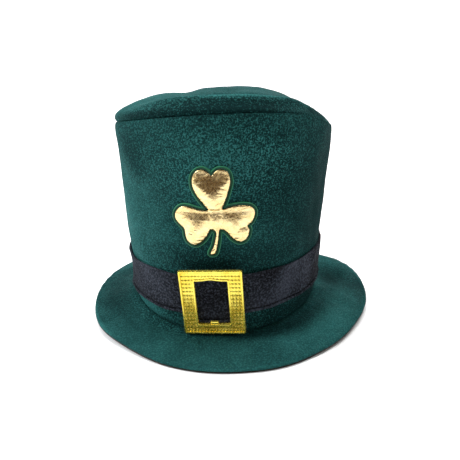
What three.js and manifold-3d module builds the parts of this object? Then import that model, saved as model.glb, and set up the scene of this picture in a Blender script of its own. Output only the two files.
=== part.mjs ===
// A tall velour costume hat with a flared crown, a soft puffed top, a saddle-shaped brim,
// a black band, a knurled gold buckle and a padded gold shamrock.
// Millimetres, +Z up, front towards -Y. The origin is under the middle of the brim, on the floor.
import * as THREE from 'three';
import Module from 'manifold-3d';
import { mergeVertices } from 'three/addons/utils/BufferGeometryUtils.js';

// Crown
const FOOT_RADIUS = 94;
const RIM_RADIUS = 104;
const CROWN_HEIGHT = 183.5;
const CROWN_WALL = 2.5;
const CROWN_LEAN = 5.2;
const RIM_TUCK = 1.2;
const FOOT_SADDLE = 4.7;
const FOOT_TILT = 3.6;
const RIM_SADDLE = 2.1;
const RIM_SIDE_TILT = 3.7;
const RIM_BACK_TILT = 13.7;
const DENT_DEPTH = 1.4;
const TIP_PUFF = 25;
const TIP_THICKNESS = 2.5;

// Brim
const BRIM_RADIUS = 143.2;
const BRIM_SHIFT = 5.8;
const BRIM_DROP = 7.8;
const BRIM_SADDLE = 4;
const BRIM_TILT = 1.6;
const BRIM_THICKNESS = 3.6;
const BRIM_FOLD_HEIGHT = 4;
const LINING_THICKNESS = 1;
const LINING_INSET = 0.8;
const FLOOR_PRESS = 1.6;

// Band
const BAND_WIDTH = 39.5;
const BAND_THICKNESS = 1.8;
const BAND_ABOVE_FOOT = 17;
const BAND_TILT = 1.8;
const BAND_EASE = 1.6;
const BAND_DIP = 9;

// Buckle
const BUCKLE_WIDTH = 56.2;
const BUCKLE_HEIGHT = 69;
const BUCKLE_PLATE = 1.8;
const BUCKLE_RIM = 1.6;
const BUCKLE_RIM_RISE = 1;
const BUCKLE_CORNER = 1.5;
const BUCKLE_LEAN = 7.3;
const BUCKLE_ABOVE_BRIM = 2;
const WINDOW_WIDTH = 29.6;
const WINDOW_HEIGHT = 45;
const WINDOW_ABOVE_EDGE = 10.3;
const WINDOW_ARCH = 1.2;
const STUB_WIDTH = 7;
const STUB_LENGTH = 2.6;
const KNURL_COLUMNS = 21;
const KNURL_ROWS = 16;
const KNURL_RISE = 0.7;

// Shamrock
const SHAMROCK_WIDTH = 72;
const SHAMROCK_ABOVE_FOOT = 110;
const SHAMROCK_SIDE_SHIFT = 3.5;
const BORDER_WIDTH = 2.5;
const BORDER_THICKNESS = 1.7;
const BORDER_FLOOR = 0.8;
const LEAF_PUFF = 3;
const LEAF_EDGE = 0.7;

// Fit and fineness
const CLEARANCE = 0.3;
const CURVE_CLEARANCE = 0.5;
const AROUND = 56;
const ARC_STEPS = 8;

const FRONT = -90;
const FOOT_AXIS_X = -BRIM_SHIFT;
const BRIM_STACK = BRIM_THICKNESS + CLEARANCE + LINING_THICKNESS;
const JOINT_HEIGHT = BRIM_DROP + BRIM_SADDLE + BRIM_STACK - FLOOR_PRESS;

// Broad dents in the crown wall: angle and spread in degrees, height and tall as shares of the
// crown's height, depth as a share of the dent depth.
const DENTS = [
  { angle: -128, spread: 16, height: 0.62, tall: 0.34, depth: 0.9 },
  { angle: -58, spread: 15, height: 0.66, tall: 0.3, depth: 1 },
  { angle: -22, spread: 18, height: 0.34, tall: 0.2, depth: 0.6 },
  { angle: 55, spread: 24, height: 0.5, tall: 0.3, depth: 1 },
  { angle: 140, spread: 22, height: 0.6, tall: 0.28, depth: 0.8 },
];

// The share of the crown's height at which the wall starts to draw in to the rim's seam.
const TUCK_START = 0.78;

// How fast the puffed top's thickness and folds grow inwards from its edge.
const EDGE_GROWTH = 12;

// How steeply the puffed top rises from its edge: low values rise like a pillow's side, and
// values near 1 like a low dome.
const RISE_LEFT = 0.33;
const RISE_RIGHT = 0.95;
const RISE_ENDS = 0.85;

// Where the rim sags: angle and spread in degrees, drop as a share of the puff.
const RIM_SAGS = [
  { angle: 0, spread: 33, drop: 0.56 },
];

// Ridges and hollows that run round the puffed top: the angles between which one runs, its
// place and half width as shares of the rim's radius, and its height as a share of the puff.
const TIP_FOLDS = [
  { from: -158, to: -30, place: 0.86, wide: 0.07, height: 0.15 },
  { from: -145, to: -42, place: 0.69, wide: 0.08, height: -0.16 },
  { from: 150, to: 215, place: 0.62, wide: 0.16, height: 0.03 },
  { from: 20, to: 120, place: 0.55, wide: 0.2, height: 0.08 },
];

// The crease that parts the left lobe from the back hump, from one end to the other in shares
// of the rim's radius, with its half width, and its depth as a share of the puff.
const TIP_CREASE = { startX: -0.42, startY: 0.62, endX: -0.26, endY: -0.58, wide: 0.09, depth: 0.18 };

// Folds in the brim: angle and spread in degrees, place and half width as shares of the brim's
// width, height as a share of the fold height.
const BRIM_FOLDS = [
  { angle: 9, spread: 11, place: 0.45, wide: 0.45, height: -0.75 },
  { angle: 33, spread: 15, place: 0.72, wide: 0.42, height: 1 },
  { angle: -68, spread: 22, place: 0.55, wide: 0.4, height: 0.4 },
  { angle: -122, spread: 9, place: 0.16, wide: 0.14, height: -0.35 },
  { angle: -172, spread: 20, place: 0.5, wide: 0.4, height: -0.5 },
  { angle: 118, spread: 24, place: 0.5, wide: 0.4, height: 0.5 },
];

// The three hearts of the leaf: direction from the middle and turn of the lobes in degrees, and
// reach to the lobes, half spacing of the lobes, lobe radius and half neck in shares of the
// shamrock's width.
const HEARTS = [
  { direction: 94.8, turn: -4, reach: 0.5, spacing: 0.108, lobe: 0.119, neck: 0.045 },
  { direction: 195, turn: 12, reach: 0.316, spacing: 0.11, lobe: 0.145, neck: 0.05 },
  { direction: -12, turn: -4.5, reach: 0.32, spacing: 0.103, lobe: 0.133, neck: 0.05 },
];

// The stem's middle line and half width, in shares of the shamrock's width.
const STEM = [
  { across: 0, up: 0.02, half: 0.03 },
  { across: 0.028, up: -0.13, half: 0.024 },
  { across: 0.018, up: -0.24, half: 0.019 },
  { across: 0.001, up: -0.34, half: 0.018 },
  { across: -0.036, up: -0.455, half: 0.027 },
];

const radians = THREE.MathUtils.degToRad;
const lerp = THREE.MathUtils.lerp;

// A smooth bump of height 1 round a middle value, which has died away two widths from it.
function bump(value, middle, width) {
  return Math.exp(-(((value - middle) / width) ** 2));
}

// The same bump round an angle in degrees, which runs on over the full circle.
function angleBump(angle, middle, spread) {
  const away = THREE.MathUtils.euclideanModulo(angle - middle + 180, 360) - 180;
  return Math.exp(-((away / spread) ** 2));
}

// 1 between two angles in degrees, and falling smoothly to 0 past each end.
function angleSpan(angle, from, to) {
  const middle = (from + to) / 2;
  const half = (to - from) / 2;
  const away = Math.abs(THREE.MathUtils.euclideanModulo(angle - middle + 180, 360) - 180);
  return 1 - THREE.MathUtils.smoothstep(away, half * 0.55, half * 1.25);
}

// Height of the seam between crown and brim.
function footHeight(angle) {
  const a = radians(angle);
  return JOINT_HEIGHT + FOOT_SADDLE * Math.cos(2 * a) - FOOT_TILT * Math.cos(a);
}

// Height of the crown's upper rim, with its sags. The share runs from the middle to the rim.
function rimHeight(angle, share = 1) {
  const a = radians(angle);
  const tilt = RIM_SIDE_TILT * Math.cos(a) - RIM_BACK_TILT * Math.sin(a);
  const saddle = -RIM_SADDLE * Math.cos(2 * a);
  let sag = 0;
  for (const row of RIM_SAGS) {
    sag += row.drop * TIP_PUFF * angleBump(angle, row.angle, row.spread);
  }
  return JOINT_HEIGHT + CROWN_HEIGHT + tilt * share + saddle * share ** 2 - sag * share ** 4;
}

// How far the wall is pushed in at a place.
function dentAt(angle, share) {
  let depth = 0;
  for (const row of DENTS) {
    depth += row.depth * angleBump(angle, row.angle, row.spread) * bump(share, row.height, row.tall);
  }
  const fromFoot = THREE.MathUtils.smoothstep(share, 0, 0.15);
  const fromRim = 1 - THREE.MathUtils.smoothstep(share, 0.85, 1);
  return depth * DENT_DEPTH * fromFoot * fromRim;
}

// A point of the crown at a share of its height, standing off its outer face by a distance.
// The seam at the rim pulls the wall in a little.
function crownAtShare(angle, share, off = 0) {
  const a = radians(angle);
  const tuck = RIM_TUCK * THREE.MathUtils.smoothstep(share, TUCK_START, 1);
  const radius = lerp(FOOT_RADIUS, RIM_RADIUS, share) - tuck - dentAt(angle, share) + off;
  const x = FOOT_AXIS_X + CROWN_LEAN * share + radius * Math.cos(a);
  return new THREE.Vector3(x, radius * Math.sin(a), lerp(footHeight(angle), rimHeight(angle), share));
}

// The same at a height above the mean seam between crown and brim.
function crownAtHeight(angle, height, off = 0) {
  const foot = footHeight(angle);
  const share = (JOINT_HEIGHT + height - foot) / (rimHeight(angle) - foot);
  return crownAtShare(angle, share, off);
}

// Makes a geometry from points and triangles of point numbers.
function indexedGeometry(points, triangles) {
  const geometry = new THREE.BufferGeometry();
  const numbers = points.flatMap((p) => [p.x, p.y, p.z]);
  geometry.setAttribute('position', new THREE.Float32BufferAttribute(numbers, 3));
  geometry.setIndex(triangles);
  return geometry;
}

// Adds a four-sided patch, split along its shorter diagonal, so that a patch and its
// neighbour's parallel one are always split alike.
function pushQuad(triangles, points, a, b, c, d) {
  if (points[a].distanceToSquared(points[c]) < points[b].distanceToSquared(points[d])) {
    triangles.push(a, b, c, a, c, d);
  } else {
    triangles.push(a, b, d, b, c, d);
  }
}

// Joins closed section loops, one for each step round the hat, into one ring-shaped body.
// Each loop runs over the top from the inside to the outside and back underneath.
function ringOfLoops(sectionAt) {
  const points = [];
  const triangles = [];
  let count = 0;
  for (let i = 0; i < AROUND; i += 1) {
    const loop = sectionAt((360 * i) / AROUND);
    count = loop.length;
    points.push(...loop);
  }
  for (let i = 0; i < AROUND; i += 1) {
    const here = i * count;
    const next = ((i + 1) % AROUND) * count;
    for (let k = 0; k < count; k += 1) {
      const m = (k + 1) % count;
      pushQuad(triangles, points, here + k, here + m, next + m, next + k);
    }
  }
  return indexedGeometry(points, triangles);
}

// Height of the brim's upper face at a share of its width, before the floor presses on it.
function brimTop(angle, share) {
  const a = radians(angle);
  const edge = JOINT_HEIGHT - BRIM_DROP + BRIM_SADDLE * Math.cos(2 * a) - BRIM_TILT * Math.cos(a);
  let fold = 0;
  for (const row of BRIM_FOLDS) {
    fold += row.height * angleBump(angle, row.angle, row.spread) * bump(share, row.place, row.wide);
  }
  return lerp(footHeight(angle), edge, share) + fold * BRIM_FOLD_HEIGHT * Math.sin(Math.PI * share) ** 0.7;
}

// A point of the brim at a share of its width and a depth below its upper face. Where the
// underside would pass through the floor, the whole stack is lifted onto it.
function brimPoint(angle, share, depth, grow = 0) {
  const a = radians(angle);
  const top = brimTop(angle, THREE.MathUtils.clamp(share, 0, 1));
  const lift = Math.max(0, BRIM_STACK - top);
  const inner = FOOT_RADIUS + grow * (1 - share);
  const radius = lerp(inner, BRIM_RADIUS, share) + grow * share;
  const x = lerp(FOOT_AXIS_X, 0, share) + radius * Math.cos(a);
  return new THREE.Vector3(x, radius * Math.sin(a), top + lift - depth);
}

// A point under the crown wall, inside the seam, at a depth below the seam.
function brimInnerPoint(angle, depth) {
  const a = radians(angle);
  const radius = FOOT_RADIUS - CROWN_WALL;
  const x = FOOT_AXIS_X + radius * Math.cos(a);
  return new THREE.Vector3(x, radius * Math.sin(a), footHeight(angle) - depth);
}

// The flared tube of the crown, open at both ends.
function crownWall() {
  const shares = [0, 0.15, 0.35, 0.56, 0.78, 0.9, 1];
  return ringOfLoops((angle) => {
    const outer = shares.map((share) => crownAtShare(angle, share));
    const inner = shares.map((share) => crownAtShare(angle, share, -CROWN_WALL)).reverse();
    outer[0].z += CLEARANCE;
    inner[inner.length - 1].z += CLEARANCE;
    return [...inner.reverse(), ...outer.reverse()];
  });
}

// How high the puffed top stands over the rim's plane.
function puffAt(angle, share) {
  const a = radians(angle);
  const x = share * Math.cos(a);
  const y = share * Math.sin(a);
  const rise = lerp(RISE_LEFT, RISE_RIGHT, (1 + Math.cos(a)) / 2) * lerp(1, RISE_ENDS, Math.abs(Math.sin(a)));
  const dome = Math.max(0, 1 - share ** 2) ** rise;
  let fold = 0;
  for (const row of TIP_FOLDS) {
    fold += row.height * angleSpan(angle, row.from, row.to) * bump(share, row.place, row.wide);
  }
  const runX = TIP_CREASE.endX - TIP_CREASE.startX;
  const runY = TIP_CREASE.endY - TIP_CREASE.startY;
  const along = ((x - TIP_CREASE.startX) * runX + (y - TIP_CREASE.startY) * runY) / (runX ** 2 + runY ** 2);
  const near = THREE.MathUtils.clamp(along, 0, 1);
  const away = Math.hypot(x - TIP_CREASE.startX - near * runX, y - TIP_CREASE.startY - near * runY);
  fold -= TIP_CREASE.depth * bump(away, 0, TIP_CREASE.wide);
  return TIP_PUFF * (dome + fold * Math.min(1, (1 - share) * EDGE_GROWTH));
}

// The puffed top: a shell whose edge stands on the rim, closed at the middle above and below.
function crownTip() {
  const innerShares = [0.2, 0.4, 0.56, 0.69, 0.79, 0.87, 0.94, 1];
  const outerShares = [...innerShares.slice(0, -1), 0.98, 1];
  const point = (angle, share, inset) => {
    const a = radians(angle);
    const radius = share * (RIM_RADIUS - RIM_TUCK - inset);
    const under = inset * Math.min(1, (1 - share) * EDGE_GROWTH);
    const z = rimHeight(angle, share) + CLEARANCE + puffAt(angle, share) - under;
    return new THREE.Vector3(FOOT_AXIS_X + CROWN_LEAN + radius * Math.cos(a), radius * Math.sin(a), z);
  };
  const rows = [
    ...outerShares.map((share) => ({ share, inset: 0 })),
    ...innerShares.toReversed().map((share) => ({ share, inset: TIP_THICKNESS })),
  ];
  const points = [point(0, 0, 0), point(0, 0, TIP_THICKNESS)];
  const triangles = [];
  for (let i = 0; i < AROUND; i += 1) {
    points.push(...rows.map((row) => point((360 * i) / AROUND, row.share, row.inset)));
  }
  for (let i = 0; i < AROUND; i += 1) {
    const here = 2 + i * rows.length;
    const next = 2 + ((i + 1) % AROUND) * rows.length;
    triangles.push(0, here, next);
    triangles.push(1, next + rows.length - 1, here + rows.length - 1);
    for (let k = 0; k < rows.length - 1; k += 1) {
      pushQuad(triangles, points, here + k, here + k + 1, next + k + 1, next + k);
    }
  }
  return indexedGeometry(points, triangles);
}

// Where the rows of the brim's underside and of the lining lie, as shares of the brim's width.
const UNDER_SHARES = [0.3, 0.6, 0.86, 0.97];

// The padded brim with its rounded outer edge.
function brim() {
  const shares = [0, 0.15, 0.3, 0.46, 0.62, 0.8, 0.95];
  const half = BRIM_THICKNESS / 2;
  return ringOfLoops((angle) => [
    brimInnerPoint(angle, 0),
    ...shares.map((share) => brimPoint(angle, share, 0)),
    brimPoint(angle, 1, half * 0.25),
    brimPoint(angle, 1, half),
    brimPoint(angle, 1, half * 1.75),
    ...UNDER_SHARES.toReversed().map((share) => brimPoint(angle, share, BRIM_THICKNESS)),
    brimInnerPoint(angle, BRIM_THICKNESS),
  ]);
}

// The thin cloth under the brim, flat where it rests on the floor.
function brimLining() {
  const upper = BRIM_THICKNESS + CLEARANCE;
  return ringOfLoops((angle) => [
    brimInnerPoint(angle, upper),
    ...UNDER_SHARES.map((share) => brimPoint(angle, share, upper)),
    brimPoint(angle, 1, upper, -LINING_INSET),
    brimPoint(angle, 1, BRIM_STACK, -LINING_INSET),
    ...UNDER_SHARES.toReversed().map((share) => brimPoint(angle, share, BRIM_STACK)),
    brimInnerPoint(angle, BRIM_STACK),
  ]);
}

// How far the band eases off the crown beside the buckle, growing towards its upper edge.
function bandEase(angle, up) {
  const halfAngle = THREE.MathUtils.radToDeg(BUCKLE_WIDTH / 2 / FOOT_RADIUS);
  const spread = 0.7 * halfAngle;
  const beside = angleBump(angle, FRONT - halfAngle, spread) + angleBump(angle, FRONT + halfAngle, spread);
  return BAND_EASE * beside * lerp(0.45, 1, up);
}

// How far the band's lower edge is drawn down behind the buckle, where it fills the window.
function bandDip(angle) {
  const away = Math.abs(radians(angle - FRONT)) * FOOT_RADIUS;
  return BAND_DIP * (1 - THREE.MathUtils.smoothstep(away, WINDOW_WIDTH / 2, BUCKLE_WIDTH / 2));
}

// A point of the band: up as a share of its width, out as a share of its thickness.
function bandPoint(angle, up, out) {
  const tilt = BAND_TILT * Math.cos(radians(angle));
  const turned = angle > 90 ? angle - 360 : angle;
  const height = BAND_ABOVE_FOOT + up * BAND_WIDTH + tilt - (1 - up) * bandDip(turned);
  return crownAtHeight(angle, height, CURVE_CLEARANCE + bandEase(angle, up) + out * BAND_THICKNESS);
}

// The doubled hem's upper edge on the band, up and out as shares of its width and thickness.
const HEM_UP = 0.065;
const HEM_OUT = 1.25;

// The band's section: a flat strip with soft edges and a doubled hem along its lower edge.
const BAND_SECTION = [
  { up: 0.01, out: 0 },
  { up: 0.5, out: 0 },
  { up: 0.985, out: 0 },
  { up: 1, out: 0.5 },
  { up: 0.985, out: 0.95 },
  { up: 0.5, out: 1 },
  { up: 0.085, out: 0.95 },
  { up: HEM_UP, out: HEM_OUT },
  { up: 0.01, out: 1.2 },
  { up: 0, out: 0.5 },
];

function hatBand() {
  return ringOfLoops((angle) => BAND_SECTION.map((row) => bandPoint(angle, row.up, row.out)));
}

const wasm = await Module();
wasm.setup();

// Turns a closed geometry into a solid that can be joined and cut.
function solidOf(geometry) {
  const bare = geometry.clone();
  for (const name of Object.keys(bare.attributes)) {
    if (name !== 'position') {
      bare.deleteAttribute(name);
    }
  }
  const merged = mergeVertices(bare, 1e-4);
  return new wasm.Manifold(new wasm.Mesh({
    numProp: 3,
    vertProperties: new Float32Array(merged.attributes.position.array),
    triVerts: new Uint32Array(merged.index.array),
  }));
}

// Turns a solid back into a geometry.
function geometryOf(solid) {
  const mesh = solid.getMesh();
  const geometry = new THREE.BufferGeometry();
  geometry.setAttribute('position', new THREE.BufferAttribute(new Float32Array(mesh.vertProperties), 3));
  geometry.setIndex(new THREE.BufferAttribute(new Uint32Array(mesh.triVerts), 1));
  return geometry;
}

// A rectangle with rounded corners, from its middle and size.
function roundedRectangle(path, x, y, width, height, corner) {
  const left = x - width / 2;
  const right = x + width / 2;
  const low = y - height / 2;
  const high = y + height / 2;
  path.moveTo(left + corner, low);
  path.lineTo(right - corner, low);
  path.absarc(right - corner, low + corner, corner, radians(-90), 0);
  path.lineTo(right, high - corner);
  path.absarc(right - corner, high - corner, corner, 0, radians(90));
  path.lineTo(left + corner, high);
  path.absarc(left + corner, high - corner, corner, radians(90), radians(180));
  path.lineTo(left, low + corner);
  path.absarc(left + corner, low + corner, corner, radians(180), radians(270));
  path.closePath();
  return path;
}

// The window's outline, grown by a margin: straight sides and a low arch over its upper edge.
function windowOutline(path, margin) {
  const half = WINDOW_WIDTH / 2 + margin;
  const low = -BUCKLE_HEIGHT / 2 + WINDOW_ABOVE_EDGE - margin;
  const high = low + WINDOW_HEIGHT + 2 * margin;
  const steps = 8;
  path.moveTo(-half, low);
  path.lineTo(half, low);
  path.lineTo(half, high);
  for (let i = 0; i <= steps; i += 1) {
    const x = lerp(0.4, -0.4, i / steps) * WINDOW_WIDTH;
    path.lineTo(x, high + WINDOW_ARCH * bump(x, 0, WINDOW_WIDTH * 0.2));
  }
  path.lineTo(-half, high);
  path.closePath();
  return path;
}

function extruded(shape, depth, from = 0) {
  const geometry = new THREE.ExtrudeGeometry(shape, { depth, bevelEnabled: false, curveSegments: 3 });
  geometry.translate(0, 0, from);
  return solidOf(geometry);
}

// A field of small diamond-shaped pyramids, each row set half a pitch from the one below it,
// over a flat underside sunk into the plate. Along its border the field lies in the valleys.
function knurledField() {
  const width = BUCKLE_WIDTH - 2 * BUCKLE_RIM;
  const height = BUCKLE_HEIGHT - 2 * BUCKLE_RIM;
  const halves = 2 * KNURL_COLUMNS;
  const halfPitch = width / halves;
  const rowPitch = height / KNURL_ROWS;
  const points = [];
  const triangles = [];
  const valley = BUCKLE_PLATE;
  for (let row = 0; row <= KNURL_ROWS; row += 1) {
    for (let i = 0; i <= halves; i += 1) {
      const inside = row > 0 && row < KNURL_ROWS && i > 0 && i < halves;
      const rise = inside && (i + row) % 2 === 0 ? KNURL_RISE : 0;
      points.push(new THREE.Vector3(-width / 2 + i * halfPitch, -height / 2 + row * rowPitch, valley + rise));
    }
  }
  for (let row = 0; row < KNURL_ROWS; row += 1) {
    for (let i = 0; i < halves; i += 1) {
      const low = row * (halves + 1) + i;
      const high = low + halves + 1;
      if ((i + row) % 2 === 0) {
        triangles.push(low, low + 1, high, low + 1, high + 1, high);
      } else {
        triangles.push(low, low + 1, high + 1, low, high + 1, high);
      }
    }
  }
  const floor = points.length;
  const corners = [0, halves, KNURL_ROWS * (halves + 1) + halves, KNURL_ROWS * (halves + 1)];
  for (const corner of corners) {
    points.push(points[corner].clone().setZ(valley / 2));
  }
  triangles.push(floor, floor + 2, floor + 1, floor, floor + 3, floor + 2);
  const sides = [[], [], [], []];
  for (let i = 0; i <= halves; i += 1) {
    sides[0].push(i);
    sides[2].push(KNURL_ROWS * (halves + 1) + halves - i);
  }
  for (let row = 0; row <= KNURL_ROWS; row += 1) {
    sides[1].push(row * (halves + 1) + halves);
    sides[3].push((KNURL_ROWS - row) * (halves + 1));
  }
  sides.forEach((side, k) => {
    triangles.push(floor + k, floor + ((k + 1) % 4), side[side.length - 1]);
    for (let i = 0; i < side.length - 1; i += 1) {
      triangles.push(floor + k, side[i + 1], side[i]);
    }
  });
  return solidOf(indexedGeometry(points, triangles));
}

// The buckle, first flat with its back on the plane z = 0, then set up against the band.
function buckle() {
  const outline = roundedRectangle(new THREE.Shape(), 0, 0, BUCKLE_WIDTH, BUCKLE_HEIGHT, BUCKLE_CORNER);
  const inside = [BUCKLE_WIDTH - 2 * BUCKLE_RIM, BUCKLE_HEIGHT - 2 * BUCKLE_RIM];
  const outerRim = roundedRectangle(new THREE.Shape(), 0, 0, BUCKLE_WIDTH, BUCKLE_HEIGHT, BUCKLE_CORNER);
  outerRim.holes.push(roundedRectangle(new THREE.Path(), 0, 0, inside[0], inside[1], BUCKLE_CORNER / 3));
  const innerRim = windowOutline(new THREE.Shape(), BUCKLE_RIM);
  const window = windowOutline(new THREE.Shape(), 0);
  const windowFoot = -BUCKLE_HEIGHT / 2 + WINDOW_ABOVE_EDGE;
  const stubHeight = 2 * STUB_LENGTH;
  const stub = roundedRectangle(new THREE.Shape(), 0, windowFoot, STUB_WIDTH, stubHeight, STUB_LENGTH / 8);
  const front = BUCKLE_PLATE + BUCKLE_RIM_RISE;
  const flat = extruded(outline, BUCKLE_PLATE)
    .add(extruded(outerRim, front))
    .add(knurledField())
    .subtract(extruded(innerRim, front, -1))
    .add(extruded(innerRim, front))
    .subtract(extruded(window, 3 * front, -front))
    .add(extruded(stub, BUCKLE_PLATE));
  const geometry = geometryOf(flat);
  const lean = radians(BUCKLE_LEAN);
  geometry.rotateX(radians(90) + lean);
  const foot = footHeight(FRONT) + BUCKLE_ABOVE_BRIM + (BUCKLE_HEIGHT / 2) * Math.cos(lean);
  const bandFoot = bandPoint(FRONT, HEM_UP, HEM_OUT);
  const back = bandFoot.y - CLEARANCE - (foot - bandFoot.z) * Math.tan(lean);
  geometry.translate(bandFoot.x, back, foot);
  return geometry;
}

// The outline of one heart, grown by a margin, counter-clockwise from its neck.
function heartOutline(row, margin) {
  const at = (angle, distance, from = new THREE.Vector2()) => new THREE.Vector2(
    from.x + distance * Math.cos(angle),
    from.y + distance * Math.sin(angle),
  );
  const direction = radians(row.direction);
  const axis = radians(row.direction + row.turn);
  const quarter = Math.PI / 2;
  const middle = at(direction, row.reach * SHAMROCK_WIDTH);
  const lobe = row.lobe * SHAMROCK_WIDTH + margin;
  const spacing = row.spacing * SHAMROCK_WIDTH;
  const notch = Math.asin(Math.min(1, spacing / lobe));
  const outline = [];
  for (const side of [-1, 1]) {
    const centre = at(axis + side * quarter, spacing, middle);
    const neck = at(direction + side * quarter, row.neck * SHAMROCK_WIDTH + margin);
    const toNeck = Math.atan2(neck.y - centre.y, neck.x - centre.x);
    const tangent = toNeck - side * Math.acos(lobe / centre.distanceTo(neck));
    const start = side < 0 ? tangent : axis - notch;
    let turn = side < 0 ? axis + notch - start : tangent - start;
    turn = THREE.MathUtils.euclideanModulo(turn, 2 * Math.PI);
    const arc = [];
    for (let i = side < 0 ? 0 : 1; i <= ARC_STEPS; i += 1) {
      arc.push(at(start + (turn * i) / ARC_STEPS, lobe, centre));
    }
    outline.push(...(side < 0 ? [neck, ...arc] : [...arc, neck]));
  }
  return { outline, centre: at(direction, row.reach * SHAMROCK_WIDTH * 0.8) };
}

// The stem's outline, grown by a margin, with its ends carried on by the margin.
function stemOutline(margin) {
  const middle = STEM.map((row) => new THREE.Vector2(row.across, row.up).multiplyScalar(SHAMROCK_WIDTH));
  const curve = new THREE.SplineCurve(middle);
  const steps = 2 * (STEM.length - 1);
  const left = [];
  const right = [];
  for (let i = 0; i <= steps; i += 1) {
    const t = i / steps;
    const at = Math.min(STEM.length - 2, Math.floor(t * (STEM.length - 1)));
    const half = lerp(STEM[at].half, STEM[at + 1].half, t * (STEM.length - 1) - at) * SHAMROCK_WIDTH + margin;
    const tangent = curve.getTangent(t);
    const point = curve.getPoint(t).addScaledVector(tangent, i === steps ? margin : 0);
    left.push(new THREE.Vector2(point.x + tangent.y * -half, point.y + tangent.x * half));
    right.push(new THREE.Vector2(point.x + tangent.y * half, point.y - tangent.x * half));
  }
  return { left, right };
}

// Lays a flat point onto the front of the crown: across and up from the shamrock's middle.
function onCrown(across, up, off) {
  const height = SHAMROCK_ABOVE_FOOT + up;
  const radius = crownAtHeight(FRONT, height).y;
  const angle = FRONT + THREE.MathUtils.radToDeg((SHAMROCK_SIDE_SHIFT + across) / Math.abs(radius));
  return crownAtHeight(angle, height, CURVE_CLEARANCE + off);
}

// A body over an outline: rings drawn towards a middle, a lower face at one distance off the
// crown and an upper face whose distance is a function of the ring's share.
function heartBody(row, margin, low, highAt, shares) {
  const { outline, centre } = heartOutline(row, margin);
  const count = outline.length;
  const place = (p, share, off) => onCrown(lerp(centre.x, p.x, share), lerp(centre.y, p.y, share), off);
  const points = [onCrown(centre.x, centre.y, low), onCrown(centre.x, centre.y, highAt(0))];
  const rings = [
    ...[0.5, 1].map((share) => ({ share, off: low })),
    ...shares.toReversed().map((share) => ({ share, off: highAt(share) })),
  ];
  for (const ring of rings) {
    points.push(...outline.map((p) => place(p, ring.share, ring.off)));
  }
  const triangles = [];
  const last = 2 + (rings.length - 1) * count;
  for (let i = 0; i < count; i += 1) {
    const j = (i + 1) % count;
    triangles.push(0, 2 + j, 2 + i, 1, last + i, last + j);
    for (let k = 0; k < rings.length - 1; k += 1) {
      const here = 2 + k * count;
      const above = here + count;
      triangles.push(here + i, here + j, above + i, above + i, here + j, above + j);
    }
  }
  return solidOf(indexedGeometry(points, triangles));
}

// The stem's body, with a flat or rounded upper face.
function stemBody(margin, low, edge, crest) {
  const { left, right } = stemOutline(margin);
  const points = [];
  const triangles = [];
  const count = left.length;
  for (let i = 0; i < count; i += 1) {
    const middle = left[i].clone().lerp(right[i], 0.5);
    points.push(
      onCrown(left[i].x, left[i].y, low),
      onCrown(right[i].x, right[i].y, low),
      onCrown(right[i].x, right[i].y, edge),
      onCrown(middle.x, middle.y, i === 0 || i === count - 1 ? edge : crest),
      onCrown(left[i].x, left[i].y, edge),
    );
  }
  for (let i = 0; i < count - 1; i += 1) {
    for (let k = 0; k < 5; k += 1) {
      const m = (k + 1) % 5;
      const here = 5 * i;
      const next = here + 5;
      triangles.push(here + k, next + k, here + m, here + m, next + k, next + m);
    }
  }
  const end = 5 * (count - 1);
  for (let k = 1; k < 4; k += 1) {
    triangles.push(0, k, k + 1, end, end + k + 1, end + k);
  }
  return solidOf(indexedGeometry(points, triangles));
}

// The stitched patch: its raised border stands round a lower floor on which the leaf lies.
function shamrockBorder() {
  const flatTop = () => BORDER_THICKNESS;
  let patch = stemBody(BORDER_WIDTH, 0, BORDER_THICKNESS, BORDER_THICKNESS);
  for (const row of HEARTS) {
    patch = patch.add(heartBody(row, BORDER_WIDTH, 0, flatTop, [0.5, 1]));
  }
  const above = 2 * BORDER_THICKNESS;
  let pocket = stemBody(CLEARANCE, BORDER_FLOOR, above, above);
  for (const row of HEARTS) {
    pocket = pocket.add(heartBody(row, CLEARANCE, BORDER_FLOOR, () => above, [0.5, 1]));
  }
  return geometryOf(patch.subtract(pocket));
}

// The padded leaf in the patch's pocket. Each heart is domed like a cushion, and the stem is
// a third as high.
function shamrockLeaf() {
  const low = BORDER_FLOOR + CLEARANCE;
  const edge = low + LEAF_EDGE;
  const highAt = (share) => edge + LEAF_PUFF * (1 - share ** 2.4) ** 0.8;
  let leaf = stemBody(0, low, edge, edge + LEAF_PUFF / 3);
  for (const row of HEARTS) {
    leaf = leaf.add(heartBody(row, 0, low, highAt, [0.45, 0.75, 0.92, 1]));
  }
  return geometryOf(leaf);
}

const GREEN = { color: 0x1f4644, roughness: 0.9, metalness: 0 };
const BLACK = { color: 0x2b2c30, roughness: 0.92, metalness: 0 };
const GOLD = { color: 0xe2cb57, roughness: 0.25, metalness: 1 };

const hat = new THREE.Group();
for (const [name, geometry, look] of [
  ['crown_wall', crownWall(), GREEN],
  ['crown_tip', crownTip(), GREEN],
  ['brim', brim(), GREEN],
  ['brim_lining', brimLining(), { color: 0x352a26, roughness: 0.85, metalness: 0 }],
  ['hat_band', hatBand(), BLACK],
  ['buckle', buckle(), GOLD],
  ['shamrock_border', shamrockBorder(), { color: 0x0f5a38, roughness: 0.55, metalness: 0 }],
  ['shamrock_leaf', shamrockLeaf(), GOLD],
]) {
  const mesh = new THREE.Mesh(geometry, new THREE.MeshStandardMaterial(look));
  mesh.name = name;
  hat.add(mesh);
}

export default hat;
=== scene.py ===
"""Dresses a tall green velour costume hat over its solid model: the flared crown and its soft
puffed top, the padded brim with its lining, the black band, the knurled gold buckle and the
stitched gold shamrock.

Sizes are in millimetres and angles in degrees. put_mesh turns points into metres.
"""

import logging
import math
from dataclasses import dataclass
from enum import Enum
from typing import Any

import bpy
import numpy as np
from mathutils import Matrix, Vector
from mathutils.geometry import delaunay_2d_cdt


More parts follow.
